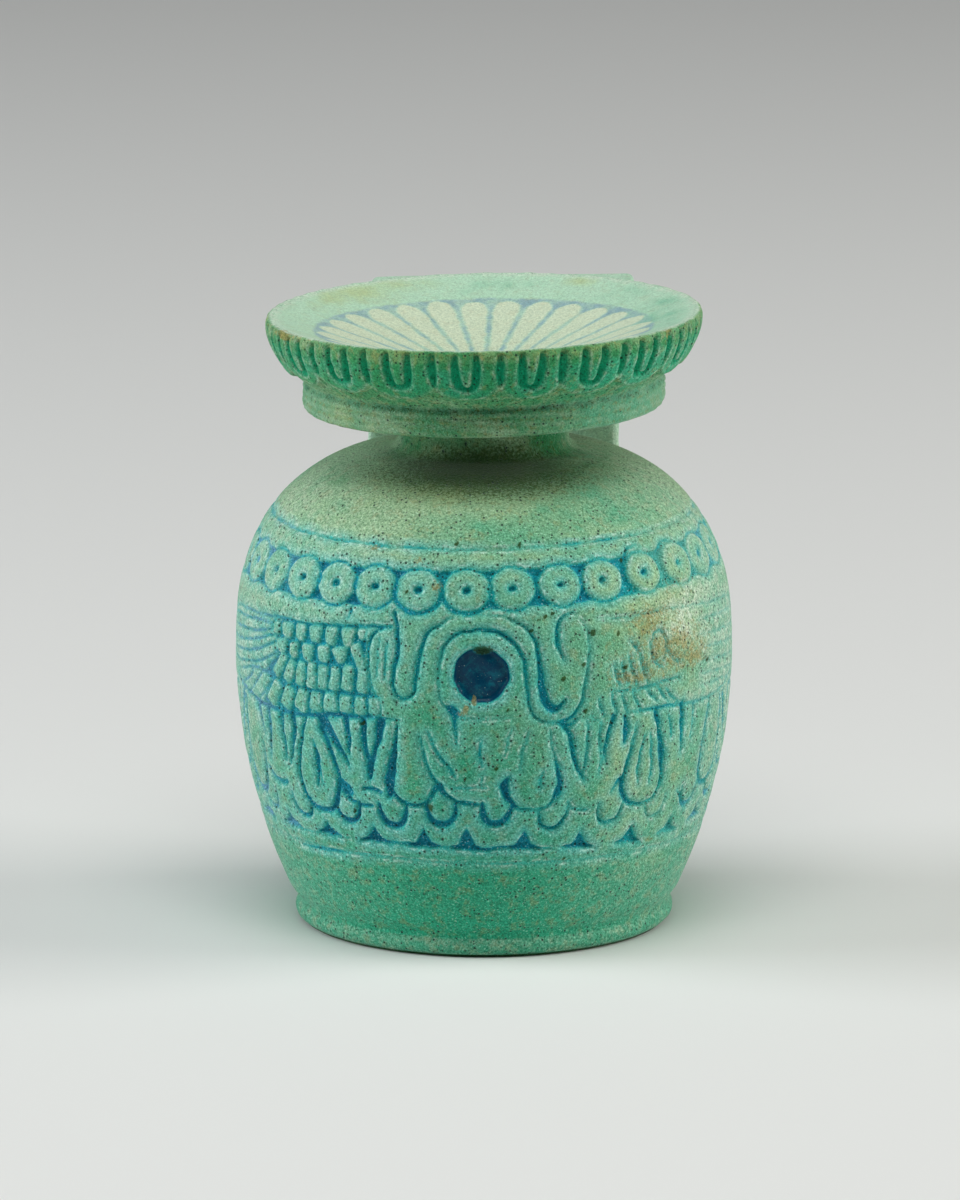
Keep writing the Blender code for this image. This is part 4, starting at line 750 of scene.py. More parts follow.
def carve_beads(cut):
    """Beads hung under the frieze, each in a cut like a U, and pointed cuts between the scallops below."""
    beads = [*BEADS, *((angle, 16.2, 0.6, 0.55) for angle in spaced(46.6, 294.5, 17))]
    for number, (angle, middle, width, pool) in enumerate(beads):
        lean = 0.25 * hashed(number, 17.0)
        cut.stroke([(angle + x + lean * z, middle + z) for x, z in BEAD_CUT],
                   width=width * np.array((0.6, 1.0, 1.25, 1.0, 0.55)), depth=0.48, pool=pool)
    cusps = [*CUSPS, *((angle, 14.6, 12.8, 12.8, 0.6) for angle in spaced(54.2, 288.5, 16))]
    for angle, point, left, right, pool in cusps:
        low = 0.5 * (left + right)
        cut.recess([(angle, point), (angle - 0.9, point - 0.75), (angle - 2.1, low + 0.5), (angle - 4.4, left + 0.08),
                    (angle - 4.5, left - 0.2), (angle + 4.5, right - 0.2), (angle + 4.4, right + 0.08),
                    (angle + 2.1, low + 0.5), (angle + 0.9, point - 0.75)], depth=0.55, pool=pool)
    cut.draw(SCALLOP_LINES)


# The ring at the bend of the shoulder: its height and how much glaze is left in it, by angle
BEND_HEIGHTS = ((-180, -60, 0, 25, 60, 180), (44.8, 44.7, 44.8, 45.05, 45.1, 44.8))
BEND_GLAZE = ((-180, -66, -45, -12, 5, 20, 34, 50, 180), (0.6, 1.0, 0.95, 0.75, 0.4, 0.55, 0.6, 0.3, 0.6))


def carve_body(cut):
    """All of the body's carving. Returns how far inside the glass disc each point is."""
    broken = 0.62 + 0.38 * waves(cut.angle, cut.height, 4.0, 19.0)
    cut.ring(np.interp(wrapped(cut.angle), *BEND_HEIGHTS), width=0.38, depth=0.26,
             pool=np.interp(cut.angle, *BEND_GLAZE) * broken)
    carve_roundels(cut)
    glass = carve_disc(cut)
    for carve in (carve_left_wing, carve_right_wing, carve_lotuses, carve_beads):
        carve(cut)
    cut.ring(11.25 - 0.25 * ease((cut.angle + 20.0) / 60.0), width=0.24, depth=0.05, pool=0.3)
    return glass


def blots(angle, height, spots):
    """A sum of soft round spots: each falls off as the exponential of the square of its distance."""
    return sum(much * np.exp(-(wrapped(angle - centre) / wide) ** 2 - ((height - level) / tall) ** 2)
               for centre, level, wide, tall, much in spots)


# Each spot is (angle, height, width in degrees, height of the spot, amount). First the earth stains
STAINS = ((46, 34.2, 18, 4.8, 0.62), (63, 34, 5, 2.4, 0.25), (40, 36.6, 4, 1.2, 0.4), (55, 39.4, 8, 1.6, 0.35),
          (56, 42.4, 6, 1.2, 0.3), (40, 31, 14, 2, 0.25), (46, 21, 16, 5, 0.2), (12, 23, 12, 4, 0.2),
          (8, 32, 30, 4, 0.12), (36, 30.6, 5, 0.9, 0.35), (44, 37, 5, 0.9, 0.3), (58, 31.6, 8, 1.2, 0.5),
          (60, 46, 16, 2.5, 0.22), (20, 44, 30, 1.5, 0.14), (52, 33.6, 5, 0.8, 0.3), (44.5, 33.6, 2.4, 0.8, 0.3),
          (-16, 46.6, 5, 0.9, 0.45), (20, 50, 40, 2, 0.2), (-30.5, 44.5, 2.2, 0.35, 0.8),
          (-17.5, 43.6, 2.5, 0.5, 0.6), (-25, 44, 6, 0.5, 0.35), (-11.5, 41.2, 2, 0.7, 0.9),
          (-2.3, 29.4, 0.7, 0.6, 1.5), (-4.2, 28.5, 0.8, 0.6, 1.3), (-5.6, 27.9, 0.8, 0.3, 0.9),
          (-11, 27.4, 3, 0.6, 0.5), (-22, 46.5, 2, 1.2, 0.5), (31, 41, 3.5, 1.2, 0.35), (47, 12.1, 2.2, 0.5, 0.9),
          (8.3, 10.2, 1, 0.7, 0.6), (-22.7, 17, 1, 0.8, 0.45), (45, 16.2, 3, 0.8, 0.5),
          (-47.5, 37.6, 1.6, 0.4, 0.5), (10.5, 24.9, 1.4, 0.7, 0.45), (30, 16.2, 2, 0.8, 0.4))
# Where the ground is yellower, above 0, or more turquoise, below 0
TONES = ((-58, 47, 24, 5, 0.25), (50, 37, 18, 7, 0.7), (36, 22, 18, 6, 0.55), (30, 41, 16, 3, 0.35),
         (-15, 49.6, 26, 1.3, 0.5), (48, 12, 20, 8, 0.3), (46, 47.4, 30, 3, -0.68), (2, 44.4, 26, 1.5, 0.4),
         (8, 47.6, 16, 2.4, -0.12), (-9, 46.3, 9, 1.6, -0.35), (-66, 48.4, 12, 1.6, -0.5), (-2, 32, 19, 5, -0.75),
         (-4, 22, 26, 5, -0.55), (-42, 32, 20, 5, -0.2), (0, 7, 40, 7, -0.2), (-8, 2.9, 30, 1.3, -1.2),
         (-52, 57, 20, 3, 0.35), (0, 57.2, 26, 3, 0.1), (50, 57.2, 30, 3, -0.5), (50, 63, 30, 4, -0.25),
         (0, 3, 200, 2.5, -0.3))
# Painted shade: dark spots under the mouth, at the front and round at the back, and on the collar under the leaves;
# and darker low on the foot's front
SHADE_SPOTS = ((-2, 50.8, 60, 1.5, 0.8), (4, 52.6, 50, 1.6, 0.5), (-4, 49.4, 46, 1.2, 0.2), (150, 51.5, 60, 2, 0.5),
          (-8, 1.2, 20, 0.8, 0.3), (-6, 57.2, 34, 2.6, 0.12))
# The larger burst bubbles, dark with dirt. The first is no bubble but painted shadow: a dark crescent under the
# disc's upper rim
PITS_AND_DISC_SHADOW = ((-0.3, 34.75, 2.2, 0.5, 1.4), (26, 36.1, 0.5, 0.24, 3), (32.5, 35.7, 0.35, 0.18, 2.4),
        (18.3, 31.5, 0.42, 0.2, 2.6), (23.3, 32.8, 0.45, 0.16, 2.4), (23.7, 27.8, 0.42, 0.2, 2.4),
        (-13, 17.4, 0.7, 0.4, 1.5), (34.2, 32, 0.35, 0.18, 2.2), (14.4, 38.1, 0.35, 0.15, 2.2),
        (16.2, 38.4, 0.35, 0.15, 2.2), (12.9, 37.9, 0.3, 0.14, 2), (9.6, 45.2, 0.35, 0.15, 2.2),
        (-7.4, 45.3, 0.4, 0.16, 2), (11, 36.7, 0.35, 0.16, 2), (63.5, 30.6, 0.6, 0.18, 2),
        (20.8, 11.4, 0.35, 0.16, 2), (-29.2, 26.15, 0.32, 0.16, 2.6), (38.3, 43, 0.45, 0.2, 1.6),
        (-33, 16.3, 0.35, 0.18, 2), (2.8, 22, 0.35, 0.16, 2), (5.5, 28.4, 0.3, 0.14, 2), (-19, 40.5, 0.3, 0.14, 2),
        (30.4, 26.2, 0.35, 0.16, 2), (-4.5, 20.8, 0.3, 0.14, 2))
# Tones of the dish, by angle and radius
DISH_TONES = ((-142, 21, 26, 3, 0.6), (151, 21.5, 7, 1.2, 0.7), (88, 20, 45, 6, -0.36), (-70, 20, 20, 4, 0.3),
              (180, 20, 18, 3, -0.25))
# Where the glaze is rubbed down to the pale body. The two tall spots at about 77 degrees either way are painted
# sheen, where the body is seen edge on
RUBS_AND_SHEEN = ((52.5, 35.8, 7, 2.3, 1), (60, 38.2, 9, 1.2, 0.5), (64, 33, 8, 4, 0.3), (50, 42.6, 8, 1, 0.3),
        (58, 27.4, 5, 1, 0.4), (-77, 28, 18, 26, 0.52), (79, 26, 17, 26, 0.7), (-44, 39, 22, 9, 0.26),
        (48, 47.5, 16, 3, 0.2), (180, 26, 70, 26, 0.22), (44, 10, 22, 12, 0.2), (-50, 9, 22, 8, 0.12),
        (-45, 47.5, 44, 4, 0.1), (180, 48, 90, 4, 0.2))
# Chips in the lip
CHIPS = ((-66, 66, 6, 2, 1.0), (57, 66, 1.6, 2, 0.9))
# Besides wear, stains and tone, these hold painted sheen among the rubbed spots and painted shade in the dark spots
WEATHER_AND_PAINTED_LIGHT = {"stain": STAINS, "rub": RUBS_AND_SHEEN, "tone": TONES, "grime": SHADE_SPOTS}


def quads(index, flipped=False):
    """Faces of a grid of point numbers whose columns close on themselves."""
    ahead = np.roll(index, -1, axis=1)
    corners = [index[:-1], ahead[:-1], ahead[1:], index[1:]]
    if flipped:
        corners = corners[:1] + corners[:0:-1]
    return np.stack(corners, axis=-1).reshape(-1, 4)


def give_values(thing, values):
    """Puts named values on an object's points."""
    for name, value in values.items():
        layer = thing.data.attributes.new(name, "FLOAT", "POINT")
        layer.data.foreach_set("value", value.astype(np.float32))


def mesh_object(name, points, faces, material):
    """A smooth mesh from points in metres and blocks of faces with three or four corners."""
    mesh = bpy.data.meshes.new(name)
    corners = np.concatenate([block.ravel() for block in faces]).astype(np.int32)
    sizes = np.concatenate([np.full(len(block), block.shape[1]) for block in faces])
    starts = np.concatenate([[0], np.cumsum(sizes)[:-1]]).astype(np.int32)
    mesh.vertices.add(len(points))
    mesh.vertices.foreach_set("co", points.astype(np.float32).ravel())
    mesh.loops.add(len(corners))
    mesh.loops.foreach_set("vertex_index", corners)
    mesh.polygons.add(len(starts))
    mesh.polygons.foreach_set("loop_start", starts)
    mesh.update(calc_edges=True)
    mesh.polygons.foreach_set("use_smooth", np.ones(len(starts), dtype=bool))
    mesh.validate()
    mesh.materials.append(material)
    thing = bpy.data.objects.new(name, mesh)
    bpy.context.scene.collection.objects.link(thing)
    return thing


def spun(radius, height, angles):
    """Rows of points at radii and heights, carried round the axis to the angles, as a grid."""
    turn = np.radians(angles)[None, :]
    return np.stack(np.broadcast_arrays(radius * np.sin(turn), -radius * np.cos(turn), height), axis=-1)


class Skin:
    """A closed skin gathered ring by ring from grids of points, with named values on its points.

    The wander is (amount, size of the waves, seed, least radius) of the plain stretches, and the weather is
    the tables of spots that their values come from, which hold painted shade and painted sheen as well as wear,
    stains and tone.
    """

    def __init__(self, names, wander, weather_and_painted_light):
        self.wander, self.weather_and_painted_light = wander, weather_and_painted_light
        self.points, self.values, self.faces = [], {name: [] for name in names}, []
        self.count = 0
        self.first = self.last = None

    def gather(self, points, values):
        """Takes in a grid of points and returns their numbers."""
        shape = points.shape[:-1]
        index = self.count + np.arange(math.prod(shape)).reshape(shape)
        self.points.append(points.reshape(-1, 3))
        for name, runs in self.values.items():
            runs.append(np.broadcast_to(values.get(name, 0.0), shape).reshape(-1))
        self.count += index.size
        return index

    def add(self, points, **values):
        """Adds rows of points, joined to each other and to the last row. A row may have half or twice the
        columns of the one before it, and three triangles then take the place of two quads."""
        index = self.gather(points, values)
        if self.last is None:
            self.first = index[0]
        else:
            self.join(self.last, index[0])
        self.faces.append(quads(index))
        self.last = index[-1]

    def plain(self, profile, columns, gap, **values):
        """Adds a stretch without carving, which still wanders a little, as hand-finished faience does."""
        profile = even(profile, gap)
        amount, size, seed, least = self.wander
        grid = spun(profile[:, :1], profile[:, 1:], columns)
        wander = amount * waves(columns[None, :], profile[:, 1:], size, seed) - amount
        grid[..., :2] *= (1.0 + wander / np.maximum(profile[:, :1], least))[..., None]
        weather_and_painted_light = {name: blots(columns[None, :], profile[:, 1:], spots) for name, spots in self.weather_and_painted_light.items()}
        self.add(grid, **{**weather_and_painted_light, **values})

    def join(self, lower, upper):
        if len(lower) == len(upper):
            self.faces.append(np.stack([lower, np.roll(lower, -1), np.roll(upper, -1), upper], axis=1))
            return
        flip = len(lower) < len(upper)
        dense, sparse = (upper, lower) if flip else (lower, upper)
        a, b, c, ahead = dense[::2], dense[1::2], np.roll(dense[::2], -1), np.roll(sparse, -1)
        for corner in ((a, b, sparse), (b, c, ahead), (b, ahead, sparse)):
            self.faces.append(np.stack(corner[::-1] if flip else corner, axis=1))

    def pole(self, height, ring, upwards):
        """Closes a ring with a fan of triangles to one point on the axis."""
        tip = np.full(len(ring), self.gather(np.array([(0.0, 0.0, height)]), {})[0])
        fan = (ring, np.roll(ring, -1), tip) if upwards else (np.roll(ring, -1), ring, tip)
        self.faces.append(np.stack(fan, axis=1))

    def build(self, name, form, material):
        """Makes the object, smooth all over, with its named values as point attributes."""
        thing = mesh_object(name, form.lean(np.concatenate(self.points)) * MM, self.faces, material)
        give_values(thing, {name: np.concatenate(runs) for name, runs in self.values.items()})
        return thing


class Relief:
    """A carved zone of a turned surface, in even steps along its profile.

    Uneven is the (share, size) by which the depth of the cuts varies, soft the (amount, reach) by which their
    edges are softened, and wander the size of the waves of the whole surface.
    """

    def __init__(self, columns, radius_at, levels, gap, carve, uneven, soft, wander):
        self.heights = even(np.stack([radius_at(levels), levels], axis=1), gap)[:, 1]
        self.columns, self.radius_at = columns, radius_at
        self.angle, self.height = np.meshgrid(columns, self.heights)
        cut = Carving(self.angle, self.height, radius_at)
        self.result = carve(cut).reshape(cut.shape)
        self.inside, self.pool = cut.inside.reshape(cut.shape), cut.pool.reshape(cut.shape)
        self.depth = cut.depth.reshape(cut.shape) * (1.0 + uneven[0] * waves(self.angle, self.height, uneven[1], 6.0))
        self.depth = (self.depth + soft[0] * np.exp(-np.clip(-self.inside, 0.0, 1.0) / soft[1]) + 0.03
                      - 0.03 * waves(self.angle, self.height, wander, 4.0))

    def points(self, step=0.05):
        """The turned grid sunk by the depth along its normal, which leans by the slope of the profile."""
        slope = (self.radius_at(self.heights + step) - self.radius_at(self.heights - step)) / (2.0 * step)
        stretch = np.hypot(1.0, slope)
        radius = self.radius_at(self.heights)[:, None] - self.depth / stretch[:, None]
        return spun(radius, self.heights[:, None] + self.depth * (slope / stretch)[:, None], self.columns)


# The foot's outline as (out from its radius, height): the corner under it, darkened as painted shade, its band with
# dark specks, and a ledge that is paler, partly rubbed wear and partly a painted highlight
FOOT = ((((-0.66, 0.02), (-0.6, 0.2)), {"grime": 1.0}),
        (((-0.3, 0.36), (-0.02, 0.6), (0.14, 1.0), (0.17, 1.35)), {"rub": 0.2, "grime": 0.1, "tone": -0.1}),
        (((0.13, 1.55), (0.03, 1.8), (-0.1, 2.0)), {"rub": 0.3, "tone": -0.1}))
FOOT_TOP = 2.0
# Where the pooled glaze has clouded to lilac, by angle
LILAC = ((-180, -100, -75, -62, -50, 55, 70, 80, 180), (0.1, 0.2, 0.7, 0.5, 0.0, 0.0, 0.4, 0.3, 0.1))


def build_body(form, material):
    """The body: underside, foot, carved belly, shoulder, neck, and the hollow inside."""
    skin = Skin(("cut", "pool", "glass", "stain", "rub", "lilac", "tone", "grime"), BODY_WANDER, WEATHER_AND_PAINTED_LIGHT)
    angles = girth(BODY_COLUMNS, FRONT_PITCH, FRONT_SPAN)
    half, quarter = angles[::2], angles[::4]

    # The underside, the foot and a nip over it
    foot = form.body_radius(FOOT_TOP)
    underside = even([(3.0, 0.0), (foot - 0.75, 0.0)], 2.4)
    skin.pole(0.0, np.arange(1, 1 + len(quarter)), False)
    skin.add(spun(underside[:, :1], underside[:, 1:], quarter), rub=0.4)
    for outline, values in FOOT:
        skin.plain([(foot + out, level) for out, level in outline], half, 0.2, **values)
    low = np.linspace(FOOT_TOP + 0.2, CARVED_FROM - 0.3, 40)
    nip = 0.36 * np.exp(-((low - FOOT_TOP - 0.75) / 0.75) ** 2)
    skin.plain(np.stack([form.body_radius(low) - nip, low], axis=1), half, 0.5)

    zone = Relief(angles, form.body_radius, np.linspace(CARVED_FROM, CARVED_TO, 300), CARVED_GAP, carve_body,
                  uneven=(0.13, 3.1), soft=(0.13, 0.38), wander=7.0)
    # Seen edge on, at both sides, the carving is nearly worn away
    edge_on = np.abs(np.abs(zone.angle) - 90.0)
    zone.depth *= 1.0 - 0.5 * ease((22.0 - edge_on) / 12.0)
    weather_and_painted_light = {name: blots(zone.angle, zone.height, spots) for name, spots in {**WEATHER_AND_PAINTED_LIGHT, "grime": PITS_AND_DISC_SHADOW}.items()}
    skin.add(zone.points(), cut=zone.inside + 1.0, pool=zone.pool, glass=zone.result + 1.0,
             lilac=np.interp(zone.angle, *LILAC), **weather_and_painted_light)

    # Shoulder and neck, then down the bore and round the hollow to its floor
    bore, hollow_corner = form.orifice_radius, 2.5
    high = np.linspace(CARVED_TO + 0.2, form.body_height - 0.4 * form.neck_fillet, 60)
    skin.plain([*zip(form.body_radius(high), high),
                *cove(form.neck_radius, form.body_height, form.neck_fillet, form.neck_fillet, 75, 0, 8),
                (form.neck_radius, form.collar_bottom + 1.3)], half, 0.45)
    skin.plain([(bore + 0.12, form.collar_bottom + 1.3), (bore + 0.12, form.collar_bottom - 0.6)], quarter, 1.0)
    arch = form.belly_height + (form.hollow_top - form.belly_height) * np.linspace(1.0, 0.0, 60) ** 0.7
    down = np.linspace(form.belly_height, form.floor + hollow_corner, 20)[1:]
    levels = np.concatenate([arch, down])
    skin.plain([(bore, form.collar_bottom - 1.0), (bore, form.hollow_top + 0.2),
                *zip(form.hollow_radius(levels), levels),
                *cove(form.hollow_radius(down[-1]), form.floor, -hollow_corner, hollow_corner, 10, 90, 8),
                (2.5, form.floor)], quarter, 1.6)
    skin.pole(form.floor, skin.last, True)
    return skin.build("vessel_body", form, material)


# The grooves between the leaves in front, the height of the leaves' tips and where a leaf's own groove turns
LEAF_EDGES = (-51.5, -33.0, -13.7, 4.2, 21.0, 39.5, 57.5)
LEAF_TIP, LEAF_TURN = 60.35, 61.75


def carve_mouth(cut):
    """A crown of leaves: a groove between each two, a groove like a U in each, and a step under their tips.

    Returns how far below the tips each point is.
    """
    edges = np.array([*LEAF_EDGES, *spaced(LEAF_EDGES[-1], 360.0 + LEAF_EDGES[0], 13)])
    ends = np.append(edges[1:], edges[0] + 360.0)
    place = (cut.seen_angle - edges[0]) % 360.0 + edges[0]
    leaf = np.clip(np.searchsorted(edges, place, side="right") - 1, 0, len(edges) - 1)
    off = np.abs(2.0 * (place - edges[leaf]) / (ends[leaf] - edges[leaf]) - 1.0)
    tip = LEAF_TIP + 0.12 * hashed(leaf, 21.0) + 1.35 * off ** 2.6
    below = (tip - cut.seen_height) / (1.0 + 0.9 * off ** 3)
    cut.sink(cut.everywhere, below, depth=0.38, pool=0.0, slope=0.45)
    for number, (left, right) in enumerate(zip(edges, ends)):
        middle, half = 0.5 * (left + right), 0.153 * (right - left)
        low = LEAF_TURN + 0.22 * hashed(number, 23.0)
        # Shallower where the mouth is worn at the left
        deep = 0.6 * (1.0 - 0.25 * math.exp(-((middle + 60.0) / 20.0) ** 2))
        cut.stroke([(left, 65.5), (left, 64.0), (left + 0.1, 62.9), (left, 62.1)], width=(0.8, 0.95, 0.9, 0.5),
                   depth=deep, pool=(0.3, 0.45, 0.5, 0.4), slope=0.4)
        cut.stroke([(middle + side * half, height) for side, height in
                    ((-1, 65.5), (-1, 63.6), (-0.86, low + 0.55), (-0.45, low), (0.45, low), (0.86, low + 0.55),
                     (1, 63.6), (1, 65.5))], width=(0.8, 1.0, 0.9, 0.65, 0.9, 1.0, 0.8), depth=deep,
                   pool=(0.4, 0.55, 0.5, 0.55, 0.4), slope=0.4)
    return below


# The painted rosette: number of petals, where the first starts, how far its centre lies in front of the
# orifice, the radius where petals start to narrow, that of their ends, and that of the paint between them
PETALS, FIRST_PETAL, ROSETTE_SHIFT = 28, 177.5, 1.1
PETAL_BEND, PETAL_END, PAINT_END = 15.5, 17.75, 18.2


def rosette(x, y):
    """How far inside a painted petal, and inside the paint between the petals, a place in the dish is.

    Petals fill equal wedges. Near its end a petal narrows as a quarter ellipse. What is left inside the
    outer ring, between the petals, is the painted line.
    """
    radius = np.hypot(x, y + ROSETTE_SHIFT)
    turn = (np.degrees(np.arctan2(x, -(y + ROSETTE_SHIFT))) - FIRST_PETAL) % 360.0 * PETALS / 360.0
    reach = PETAL_END + 0.25 * hashed(np.floor(turn), 31.0)
    over = np.clip(radius - PETAL_BEND, 0.0, None) / (reach - PETAL_BEND)
    narrow = np.sqrt(np.clip(1.0 - over ** 2, 0.0, 1.0))
    petal = (0.5 * narrow - np.abs(turn % 1.0 - 0.5)) * math.radians(360.0 / PETALS) * radius - 0.25
    petal = np.minimum(petal, reach - radius)
    return petal, np.minimum(PAINT_END - radius, -petal)


# Three turned grooves in the collar: (height above its foot, depth)
COLLAR_GROOVES = ((0.55, 0.08), (1.35, 0.13), (2.15, 0.14))


def build_mouth(form, material):
    """The mouth: collar, leaves, lip, painted dish and the bore down into the neck."""
    skin = Skin(("cut", "pool", "stain", "rub", "dish", "petal", "line", "tone", "leaf", "grime"), MOUTH_WANDER, {})
    angles = np.linspace(-180.0, 180.0, MOUTH_COLUMNS, endpoint=False)
    half, quarter = angles[::2], angles[::4]
    foot, edge, fillet = form.collar_bottom, 0.8, 0.9

    # The underside, from the bore out to the collar
    skin.plain([(form.orifice_radius, foot + 0.5), (form.neck_radius - 0.5, foot + 0.5)], quarter, 1.2)
    skin.plain([(form.neck_radius - 0.1, foot - fillet),
                *cove(form.neck_radius, foot - fillet, fillet, fillet, 0, 90, 7),
                (form.collar_radius - edge, foot)], half, 0.7)

    # The collar, speckled dark all over, with painted shade in the corner under the leaves, where glaze has also
    # pooled, and pale streaks round it
    profile = even([*cove(form.collar_radius, foot, -edge, edge, 90, 0, 7),
                    (form.collar_radius - 0.02, form.collar_top - 0.45),
                    (form.collar_radius - 0.3, form.collar_top - 0.05)], 0.2)
    profile[:, 0] -= sum(much * np.exp(-((profile[:, 1] - foot - level) / 0.13) ** 2)
                         for level, much in COLLAR_GROOVES)
    there, level = half[None, :], profile[:, 1:]
    grid = spun(profile[:, :1], level, half)
    grid[..., :2] *= (1.0 + 0.06 * (waves(there, level, 2.6, 8.0) - 1.0) / form.collar_radius)[..., None]
    dirt_and_shade = ease((level - form.collar_top + 0.75) / 0.5) * (0.6 + 0.4 * waves(there, level, 3.0, 9.0))
    streaks = np.sin(np.radians(5.0 * there) + 7.0 * level + 2.0 * np.sin(np.radians(3.0 * there)))
    fresher = 0.2 * ease((np.abs(there) - 10.0) / 50.0) + 0.14 * np.clip(np.sin(np.radians(there)), 0.0, 1.0)
    skin.add(grid, cut=1.0 + 0.1 * dirt_and_shade, pool=0.2 * dirt_and_shade, rub=0.12 + 0.12 * streaks, stain=0.34 - 0.14 * streaks,
             leaf=0.4, dish=0.1 + fresher, grime=0.16 + 0.3 * dirt_and_shade + blots(there, level, SHADE_SPOTS),
             tone=blots(there, level, TONES))

    zone = Relief(angles, form.mouth_radius, np.linspace(form.collar_top + 0.15, form.height - form.lip_drop, 200),
                  LEAF_GAP, carve_mouth, uneven=(0.12, 3.0), soft=(0.06, 0.2), wander=5.0)
    # Brown near the lip, turquoise on the leaves and tan under their tips. Paler on the sides, painted light where
    # the side lamps catch the leaves, and on the ridges beside the grooves, partly rubbed wear and partly a painted
    # highlight
    browned = ease((zone.height - form.height + 2.4) / 1.4)
    tan = ease((zone.result + 0.3) / 0.3)
    sides = ease((np.abs(angles[None, :]) - 26.0) / 34.0)
    ridge_wear_and_highlight = np.exp(-((zone.inside + 0.2) / 0.16) ** 2)
    skin.add(zone.points(), cut=zone.inside + 1.0, pool=zone.pool, leaf=1.0, grime=0.14 * browned,
             rub=0.1 * sides + 0.2 * ridge_wear_and_highlight + 0.18 * tan, stain=0.34 * browned + 0.4 * tan,
             tone=blots(zone.angle, zone.height, TONES) + 0.3 * browned - 0.4 * (1.0 - browned) * (1.0 - tan))

    # The lip is round outside, and falls only a little on its way in to the dish
    middle = form.lip_radius - 0.5 * form.lip_thickness
    lip = even([(middle + 0.5 * form.lip_thickness * math.cos(t),
                 form.height - (form.lip_drop if t < 0.5 * math.pi else 0.12) * (1.0 - math.sin(t) ** 0.8))
                for t in np.radians(np.linspace(0.0, 180.0, 13))[1:-1]], 0.2)
    there, level = angles[None, :], lip[:, 1:]
    share = np.linspace(0.0, 1.0, len(lip))[:, None]
    chips = np.clip(blots(there, level, CHIPS), 0.0, 1.0)
    # The grooves run out over the round of the lip
    runout = ease(1.0 - share / 0.42)
    grid = spun(lip[:, :1], level, angles)
    grid[..., :2] *= (1.0 - (zone.depth[-1] * runout + 0.03 * (1.0 - runout)) / lip[:, :1])[..., None]
    grid[..., 2] -= (0.045 * waves(there, level, 2.2, 10.0) + 0.05) * ease(share / 0.3) + 0.14 * chips
    # Leaf glaze outside turns to dish glaze inside, over a brown edge that is pale where it is sharpest, partly
    # rubbed wear and partly a painted highlight, with painted light on the sides as on the leaves
    turned_in, outer = ease((share - 0.5) / 0.2), 1.0 - ease((share - 0.5) / 0.3)
    skin.add(grid, cut=1.0 + (zone.inside[-1] - 0.1) * runout - (1.0 - runout), pool=0.4 * runout,
             leaf=1.0 - turned_in, dish=0.8 * turned_in, stain=0.8 * chips + 0.42 * outer, tone=0.3 * outer,
             rub=ease((share - 0.5) / 0.16) * (0.8 + 0.2 * waves(there, level, 2.6, 15.0)) + 0.25 * sides,
             grime=0.16 * (1.0 - ease((share - 0.45) / 0.2)))

    # The dish with its painted petals, and the bore
    radii = np.linspace(form.inner_lip - 0.12, form.orifice_radius + 0.6, 60)
    dish = even(np.stack([radii, form.dish_height(radii) - 0.06], axis=1), DISH_GAP)
    there, radius = half[None, :], dish[:, :1]
    grid = spun(radius, dish[:, 1:], half)
    grid[..., 2] += 0.05 * waves(there, radius, 6.0, 12.0) - 0.05
    petal, line = rosette(grid[..., 0], grid[..., 1])
    # The dish is paler at its edge by the lip: partly rubbing, partly a painted highlight
    skin.add(grid, dish=1.0, petal=petal + 1.0, line=line + 1.0, tone=blots(there, radius, DISH_TONES),
             rub=0.8 * ease((radius - form.inner_lip + 0.9) / 0.8))
    bore, bottom = form.orifice_radius, form.height - form.dish_depth
    skin.plain([(bore + 0.3, bottom - 0.15), (bore + 0.06, bottom - 0.5), (bore, bottom - 1.1), (bore, foot + 0.5)],
               quarter, 0.6, dish=0.5)
    skin.join(skin.last, skin.first)
    return skin.build("vessel_mouth", form, material)


